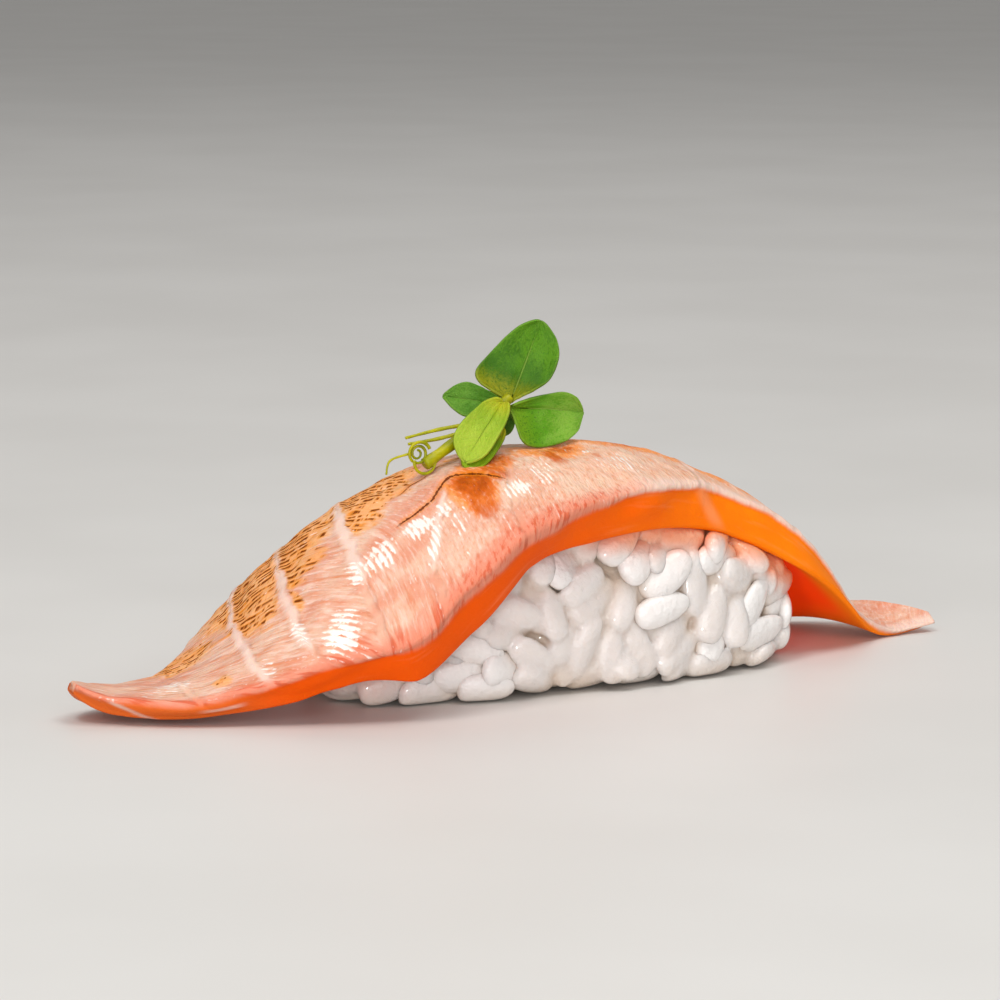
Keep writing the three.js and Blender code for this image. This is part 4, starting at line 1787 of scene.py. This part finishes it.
@dataclass(frozen=True)
class Leaf:
    """One leaf, from root to tip with its face turned to face.

    The two profiles are its half widths from root to tip on each side of the midrib, at the
    shares in STOPS. cup bends its sides up, arch bends its length and wave ripples its rim.
    """

    STOPS = (0.0, 0.06, 0.2, 0.4, 0.65, 0.85, 1.0)
    THICKNESS = 0.26
    LEAST_HALF_WIDTH = 0.03
    VALLEY_DEPTH, VALLEY_WIDTH = 0.16, 0.14
    RUMPLE = 0.1
    CELLS_LONG, CELLS_WIDE = 48, 36

    name: str
    root: tuple[float, float, float]
    tip: tuple[float, float, float]
    face: tuple[float, float, float]
    right: tuple[float, ...]
    left: tuple[float, ...]
    cup: float
    arch: float
    wave: float
    colours: "LeafFinish"

    def fullness(self, u: np.ndarray) -> np.ndarray:
        """How far the leaf has opened out, 0 at both its ends and 1 between them."""
        return np.sqrt(np.clip((1 - u**14) * (1 - (1 - u) ** 24), 0, 1))

    def half_width(self, u: np.ndarray, v: np.ndarray) -> np.ndarray:
        """Half width on the side of v, smoothed between the stops.

        Args:
            u: Share of the way from root to tip.
            v: Share of the way from midrib to rim.

        Returns:
            Millimetres for each place.
        """
        knots = np.interp(u, self.STOPS, np.arange(len(self.STOPS)))
        right = spline(np.array(self.right)[:, None], knots)[:, 0]
        left = spline(np.array(self.left)[:, None], knots)[:, 0]
        return np.maximum(np.where(v > 0, right, left) * self.fullness(u), self.LEAST_HALF_WIDTH)

    def surface(self, u: np.ndarray, v: np.ndarray) -> np.ndarray:
        """Places on the leaf.

        Args:
            u: Share of the way from root to tip.
            v: Share of the way from midrib to rim, below 0 on the left.

        Returns:
            One row for each place.
        """
        start, along = np.array(self.root), np.subtract(self.tip, self.root)
        side = np.cross(along, self.face)
        side /= np.linalg.norm(side)
        normal = np.cross(side, along)
        normal /= np.linalg.norm(normal)
        half = self.half_width(u, v)
        rumple = self.RUMPLE * waves(np.stack([4 * u, 2 * v], -1), 3, seed=5)
        ripple = self.wave * v * np.sin(9 * u + 2 * v) + rumple
        valley = np.exp(-((v / self.VALLEY_WIDTH) ** 2)) * smooth(1.0, 0.8, u)
        lift = self.cup * v**2 + ripple - self.VALLEY_DEPTH * valley
        bend = lift * self.fullness(u) + self.arch * 4 * u * (1 - u)
        return (
            start
            + along * u[:, None]
            + side * (v * half)[:, None]
            + normal * bend[:, None]
        )

    def build(self) -> bpy.types.Object:
        """Shapes a grid into the leaf and gives it its thickness.

        Returns:
            The piece.
        """
        bm = bmesh.new()
        bmesh.ops.create_grid(bm, x_segments=self.CELLS_LONG, y_segments=self.CELLS_WIDE, size=1.0)
        flat = coordinates(bm)
        u, v = np.sin((flat[:, 0] + 1) * math.pi / 4) ** 1.2, flat[:, 1]
        move_to(bm, self.surface(u, v))
        piece = to_object(self.name, bm, {"blade": np.stack([u, v, 0 * u], -1)})
        thickness = piece.modifiers.new("thickness", "SOLIDIFY")
        thickness.thickness = self.THICKNESS * MM
        thickness.offset = 0
        piece.data.materials.append(self.colours.make(self.name))
        return fit(piece, Slot.LEAF, Node.SHOOT)


@dataclass(frozen=True)
class LeafFinish:
    """A fresh satin leaf: lighter towards its tip, olive at its root, freckled, thin veins."""

    light: str
    deep: str
    root: str
    speck: str = "2C5805"
    vein: str = "93B04A"
    vein_strength: float = 0.45
    freckles: float = 0.75
    vein_pairs: float = 4.0

    def make(self, name: str) -> bpy.types.Material:
        """Builds the material from the leaf's own coordinates.

        Args:
            name: The leaf's name, also the material's.

        Returns:
            The material.
        """
        r = Recipe(name)
        blade = r.place("blade")
        u, v, _ = r.parts(blade)
        out = abs(v)
        cloud = r.noise(r.stretch(blade, (4.0, 2.2, 1.0)), 3, 1.0)
        mottle = r.noise(r.stretch(blade, (26.0, 13.0, 1.0)), 3, 2.0)
        fine = r.noise(r.stretch(blade, (64.0, 34.0, 1.0)), 2, 4.0)
        rise = (u + (cloud - 0.5) * 0.8 + (mottle - 0.5) * 0.6).step(0.25, 0.75)
        ground = r.mix(rise, tint(self.deep), tint(self.light))
        patchy = (cloud * 0.4 + mottle * 0.6).step(0.52, 0.42)
        ground = r.paint(ground, patchy * self.freckles * 0.7, self.deep)
        low = (u + (mottle - 0.5) * 0.2).step(0.36, 0.02)
        ground = r.paint(ground, low * 0.85, self.root)
        freckle = (fine * 0.5 + mottle * 0.5).step(0.5, 0.62) * (0.25 + u.step(0.7, 0.15) * 0.75)
        ground = r.paint(ground, freckle * self.freckles, self.speck)
        spread = (u - out * 0.28 + (cloud - 0.5) * 0.08) * (2 * math.pi * self.vein_pairs)
        side_vein = abs(spread.sin()).step(0.12, 0.0) * out.step(0.9, 0.4)
        midrib = out.step(0.045, 0.012) * u.step(1.0, 0.5)
        ground = r.paint(ground, (side_vein * 0.2 + midrib) * self.vein_strength, self.vein)
        colour = r.paint(ground, out.step(0.96, 1.0) * 0.2, self.vein)
        height = mottle * 0.5 - side_vein * 0.08 - midrib * 0.45
        return r.finish(
            Base_Color=colour,
            Roughness=0.48 + mottle * 0.15,
            Normal=r.bump(height, 0.22),
            Subsurface_Weight=0.2,
            Subsurface_Radius=(0.5, 1.0, 0.2),
            Subsurface_Scale=0.4 * MM,
            Specular_IOR_Level=0.2,
        )


@dataclass(frozen=True)
class Strand:
    """A round strand through points, tapering from its first to its last radius."""

    name: str
    points: tuple[tuple[float, float, float], ...]
    start_radius: float
    end_radius: float
    sides: int = 12
    rings: int = 60

    def path(self, share: np.ndarray) -> np.ndarray:
        """Places at shares of the strand."""
        return spline(np.array(self.points), share * (len(self.points) - 1))

    def radius(self, share: np.ndarray) -> np.ndarray:
        """Radius at shares of the strand, swelling a little here and there."""
        wobble = 1 + 0.06 * np.sin(13 * share + 1) + 0.04 * np.sin(29 * share)
        return (self.start_radius + (self.end_radius - self.start_radius) * share) * wobble

    def build(self, finish: "StemFinish") -> bpy.types.Object:
        """Sweeps the strand and gives it its finish.

        Args:
            finish: The finish of all stems.

        Returns:
            The piece.
        """
        bm, share = tube_bmesh(self.path, self.radius, self.sides, self.rings)
        piece = to_object(self.name, bm, {"share": share})
        piece.data.materials.append(finish.make(self.name))
        return fit(piece, Slot.LEAF, Node.SHOOT)


@dataclass(frozen=True)
class StemFinish:
    """Juicy pale green stem or tendril."""

    pale: str = "B2AC00"
    green: str = "828800"

    def make(self, name: str) -> bpy.types.Material:
        """Builds the material.

        Args:
            name: The strand's name, also the material's.

        Returns:
            The material.
        """
        r = Recipe(name)
        place = r.object_place()
        cloud = r.noise(r.stretch(place, (0.6, 0.6, 0.6)), 2, 1.0)
        ribs = r.noise(r.stretch(place, (0.7, 3.5, 3.5)), 2, 2.0)
        colour = r.mix(cloud.step(0.3, 0.7), tint(self.pale), tint(self.green))
        return r.finish(
            Base_Color=colour,
            Roughness=0.3 + ribs * 0.2,
            Specular_IOR_Level=0.3,
            Normal=r.bump(ribs, 0.08),
            Subsurface_Weight=0.2,
            Subsurface_Radius=(0.8, 1.0, 0.3),
            Subsurface_Scale=0.8 * MM,
        )


def spiral(
    middle: tuple[float, float, float],
    radii: tuple[float, float],
    angles: tuple[float, float],
    sway: float,
    points: int,
) -> tuple[tuple[float, float, float], ...]:
    """Points of a flat spiral facing -Y.

    Args:
        middle: Its centre.
        radii: Its first and last radius.
        angles: Its first and last angle in degrees, from +X towards +Z.
        sway: How far it moves towards +Y from first to last point.
        points: How many points.

    Returns:
        The points.
    """
    share = np.linspace(0, 1, points)
    angle = np.radians(angles[0] + (angles[1] - angles[0]) * share)
    radius = radii[0] + (radii[1] - radii[0]) * share
    x = middle[0] + radius * np.cos(angle)
    y = middle[1] + sway * (share - 0.5)
    z = middle[2] + radius * np.sin(angle)
    return tuple(zip(x, y, z))


@dataclass(frozen=True)
class PeaShoot:
    """The sprig: stem, six leaves, and tendrils with their coil, loop and loose end."""

    leaves: tuple[Leaf, ...] = (
        Leaf(
            "leaf_upright", (-3.1, -0.3, 28.6), (1.5, 1.6, 36.4), (-0.5, -0.85, 0.2),
            (0.3, 0.7, 1.7, 2.9, 3.0, 2.3, 1.2), (1.6, 3.8, 4.4, 3.9, 2.9, 1.9, 1.0),
            0.7, -0.5, 0.22, LeafFinish("568814", "366602", "928E06"),
        ),
        Leaf(
            "leaf_left", (-3.8, 0.1, 28.3), (-9.3, 2.5, 29.3), (-0.4, -0.8, 0.5),
            (0.3, 0.6, 1.0, 1.4, 1.6, 1.2, 0.6), (0.3, 0.7, 1.3, 1.9, 2.0, 1.4, 0.6),
            0.4, 0.3, 0.1, LeafFinish("60902A", "40740A", "4F7A10"),
        ),
        Leaf(
            "leaf_right", (-3.3, -0.5, 28.2), (6.15, 1.0, 26.85), (-0.45, -0.9, 0.3),
            (1.6, 3.6, 4.1, 4.0, 3.3, 2.2, 0.9), (0.2, 0.4, 0.8, 1.3, 1.7, 1.4, 0.7),
            0.5, 0.6, 0.15, LeafFinish("80AE3A", "54900E", "6E9410"),
        ),
        Leaf(
            "leaf_front", (-4.3, -0.9, 28.8), (-10.4, -3.9, 23.5), (-0.35, -0.75, 0.6),
            (0.3, 0.8, 1.5, 1.9, 2.2, 2.2, 1.7), (0.8, 0.9, 1.3, 1.6, 1.7, 1.7, 1.4),
            0.8, 0.5, 0.12, LeafFinish("A6BC3A", "8CAA26", "BDBA28", "83A01A", "83A01A", 0.4, 0.5),
        ),
        Leaf(
            "leaf_front_fold", (-5.2, -1.9, 26.6), (-10.5, -4.2, 22.9), (-0.35, -0.75, 0.6),
            (0.2, 0.3, 0.5, 0.8, 1.2, 1.3, 0.9), (0.5, 0.9, 1.2, 1.4, 1.5, 1.4, 1.0),
            0.2, 0.0, 0.1, LeafFinish("86A614", "6F900C", "B8A812", "5F800A", "647F0C", 0.4, 0.3),
        ),
        Leaf(
            "leaf_behind", (-3.8, 0.0, 28.5), (-4.2, 1.4, 24.9), (-0.5, -0.85, 0.1),
            (0.3, 0.6, 1.2, 1.7, 1.6, 1.0, 0.2), (0.3, 0.6, 1.2, 1.7, 1.6, 1.0, 0.2),
            0.3, 0.3, 0.1, LeafFinish("4E7A1E", "38610C", "4A6E18"),
        ),
    )
    strands: tuple[Strand, ...] = (
        Strand(
            "stem",
            ((-3.3, -0.4, 29.1), (-8.3, -1.2, 26.2), (-13.9, -2.0, 23.3)),
            0.5, 0.62, 16, 60,
        ),
        Strand(
            "tendril_upper",
            ((-7.6, -0.6, 26.8), (-11.0, 0.4, 26.3), (-14.5, 1.0, 25.6)),
            0.24, 0.14,
        ),
        Strand(
            "tendril_lower",
            ((-8.6, -0.9, 26.1), (-11.2, 0.2, 25.4), (-14.3, 0.8, 25.0)),
            0.24, 0.14,
        ),
        Strand(
            "tendril_end",
            ((-15.7, -1.7, 24.4), (-17.5, -1.3, 23.8), (-18.1, -1.6, 22.5)),
            0.13, 0.1,
        ),
        Strand(
            "tendril_coil",
            spiral((-14.6, -1.8, 24.4), (1.25, 0.3), (20, 800), 0.5, 60),
            0.17, 0.12, 10, 160,
        ),
        Strand(
            "tendril_loop",
            spiral((-14.1, -2.3, 23.6), (1.2, 1.2), (-190, 10), 0.0, 16),
            0.16, 0.14, 10, 50,
        ),
    )

    def build(self) -> list[bpy.types.Object]:
        """Makes every piece of the sprig."""
        finish = StemFinish()
        return [leaf.build() for leaf in self.leaves] + [s.build(finish) for s in self.strands]


# ---- fitting, studio and camera ---------------------------------------------------------------


def fit(piece: bpy.types.Object, slot: Slot, node: Node) -> bpy.types.Object:
    """Fits a finished piece to the frame.

    Args:
        piece: The piece.
        slot: The material slot that its finish belongs to. Not used.
        node: The node that it stands for.

    Returns:
        The piece.
    """
    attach(piece, BODY)
    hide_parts(node.value)
    return piece


@dataclass(frozen=True)
class SoftBox:
    """A square soft light, aimed at the middle of the food."""

    name: str
    azimuth: float
    elevation: float
    distance: float
    size: float
    watts: float
    colour: tuple[float, float, float] = (1.0, 1.0, 1.0)

    def build(self, target: Vector) -> None:
        """Hangs the light where azimuth 0 looks along +Y and distance is in metres.

        Args:
            target: Where the light is aimed, in metres.
        """
        data = bpy.data.lights.new(self.name, "AREA")
        data.shape = "SQUARE"
        data.size = self.size
        data.energy = self.watts
        data.color = self.colour
        lamp = bpy.data.objects.new(self.name, data)
        bpy.context.scene.collection.objects.link(lamp)
        back = direction_back(self.azimuth, self.elevation)
        lamp.location = target + back * self.distance
        lamp.rotation_euler = (-back).to_track_quat("-Z", "Y").to_euler()


def direction_back(azimuth: float, elevation: float) -> Vector:
    """Unit vector from the food towards a viewer at these angles in degrees."""
    a, e = math.radians(azimuth), math.radians(elevation)
    return Vector((math.sin(a) * math.cos(e), -math.cos(a) * math.cos(e), math.sin(e)))


@dataclass(frozen=True)
class Viewpoint:
    """The camera: where it looks from, and where the looked-at point lies in the picture."""

    anchor: tuple[float, float, float] = (-3.04, 0.55, 0.0)
    anchor_px: tuple[float, float] = (507.0, 679.7)
    picture_px: float = 1000.0
    azimuth: float = -30.0
    elevation: float = 11.0
    distance: float = 450.0
    px_per_mm: float = 9.8
    sensor: float = 36.0

    def build(self) -> None:
        """Sets up the camera, turned so that the anchor falls on its pixel."""
        focal_px = self.px_per_mm * self.distance
        data = bpy.data.cameras.new("camera")
        data.sensor_width = self.sensor
        data.lens = self.sensor * focal_px / self.picture_px
        data.clip_start = 0.01
        camera = bpy.data.objects.new("camera", data)
        bpy.context.scene.collection.objects.link(camera)
        back = direction_back(self.azimuth, self.elevation)
        turn = math.radians(self.azimuth)
        right = Vector((math.cos(turn), math.sin(turn), 0))
        up = back.cross(right)
        shift_right = (self.anchor_px[0] - self.picture_px / 2) / focal_px
        shift_down = (self.anchor_px[1] - self.picture_px / 2) / focal_px
        gaze = -back - right * shift_right + up * shift_down
        camera.location = (Vector(self.anchor) + back * self.distance) * MM
        camera.rotation_euler = gaze.to_track_quat("-Z", "Y").to_euler()
        bpy.context.scene.camera = camera


@dataclass(frozen=True)
class Studio:
    """A plain pale table under soft lights."""

    table_size: float = 9.0
    table_colour: str = "D9D7D4"
    world_colour: str = "E9E8E6"
    world_strength: float = 0.4
    target: tuple[float, float, float] = (0.0, 0.0, 12.0)
    lights: tuple[SoftBox, ...] = (
        SoftBox("key", -60, 60, 0.75, 0.2, 1.7, (1.0, 0.985, 0.96)),
        SoftBox("top", 30, 70, 0.8, 0.4, 2.2, (1.0, 0.985, 0.96)),
        SoftBox("front", -20, 18, 0.9, 0.6, 2.1),
        SoftBox("low", -42, 5, 0.7, 0.1, 1.4),
        SoftBox("back", 150, 50, 0.9, 0.5, 0.8),
    )

    def build(self) -> None:
        """Lays the table, lights it and sets the surroundings."""
        bm = bmesh.new()
        bmesh.ops.create_grid(bm, x_segments=1, y_segments=1, size=self.table_size / 2 / MM)
        table = to_object("table", bm)
        r = Recipe("table")
        grain = r.noise(r.stretch(r.object_place(), (0.02, 0.02, 0.02)), 3)
        lighter = grain.step(0.3, 0.7) * 0.25
        colour = r.mix(lighter, tint(self.table_colour), tint(self.world_colour))
        table.data.materials.append(r.finish(Base_Color=colour, Roughness=0.45 + grain * 0.1))
        for light in self.lights:
            light.build(Vector(self.target) * MM)
        world = bpy.data.worlds.new("surroundings")
        world.use_nodes = True
        background = world.node_tree.nodes["Background"]
        background.inputs["Color"].default_value = tint(self.world_colour)
        background.inputs["Strength"].default_value = self.world_strength
        scene = bpy.context.scene
        scene.world = world
        scene.view_settings.view_transform = "Standard"


def main() -> None:
    """Builds the studio and every piece, and reports each one."""
    logging.basicConfig(level=logging.INFO, format="%(name)s: %(message)s")
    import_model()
    Studio().build()
    Viewpoint().build()
    salmon = SalmonSlice(SliceForm()).dress()
    tree = BVHTree.FromObject(salmon, bpy.context.evaluated_depsgraph_get())
    rice = RiceHeap(RiceWall(), tree).build_heap()
    shoot = PeaShoot().build()
    for piece in (salmon, *rice, *shoot):
        log.info("%s: %d faces", piece.name, len(piece.data.polygons))


if __name__ == "__main__":
    main()
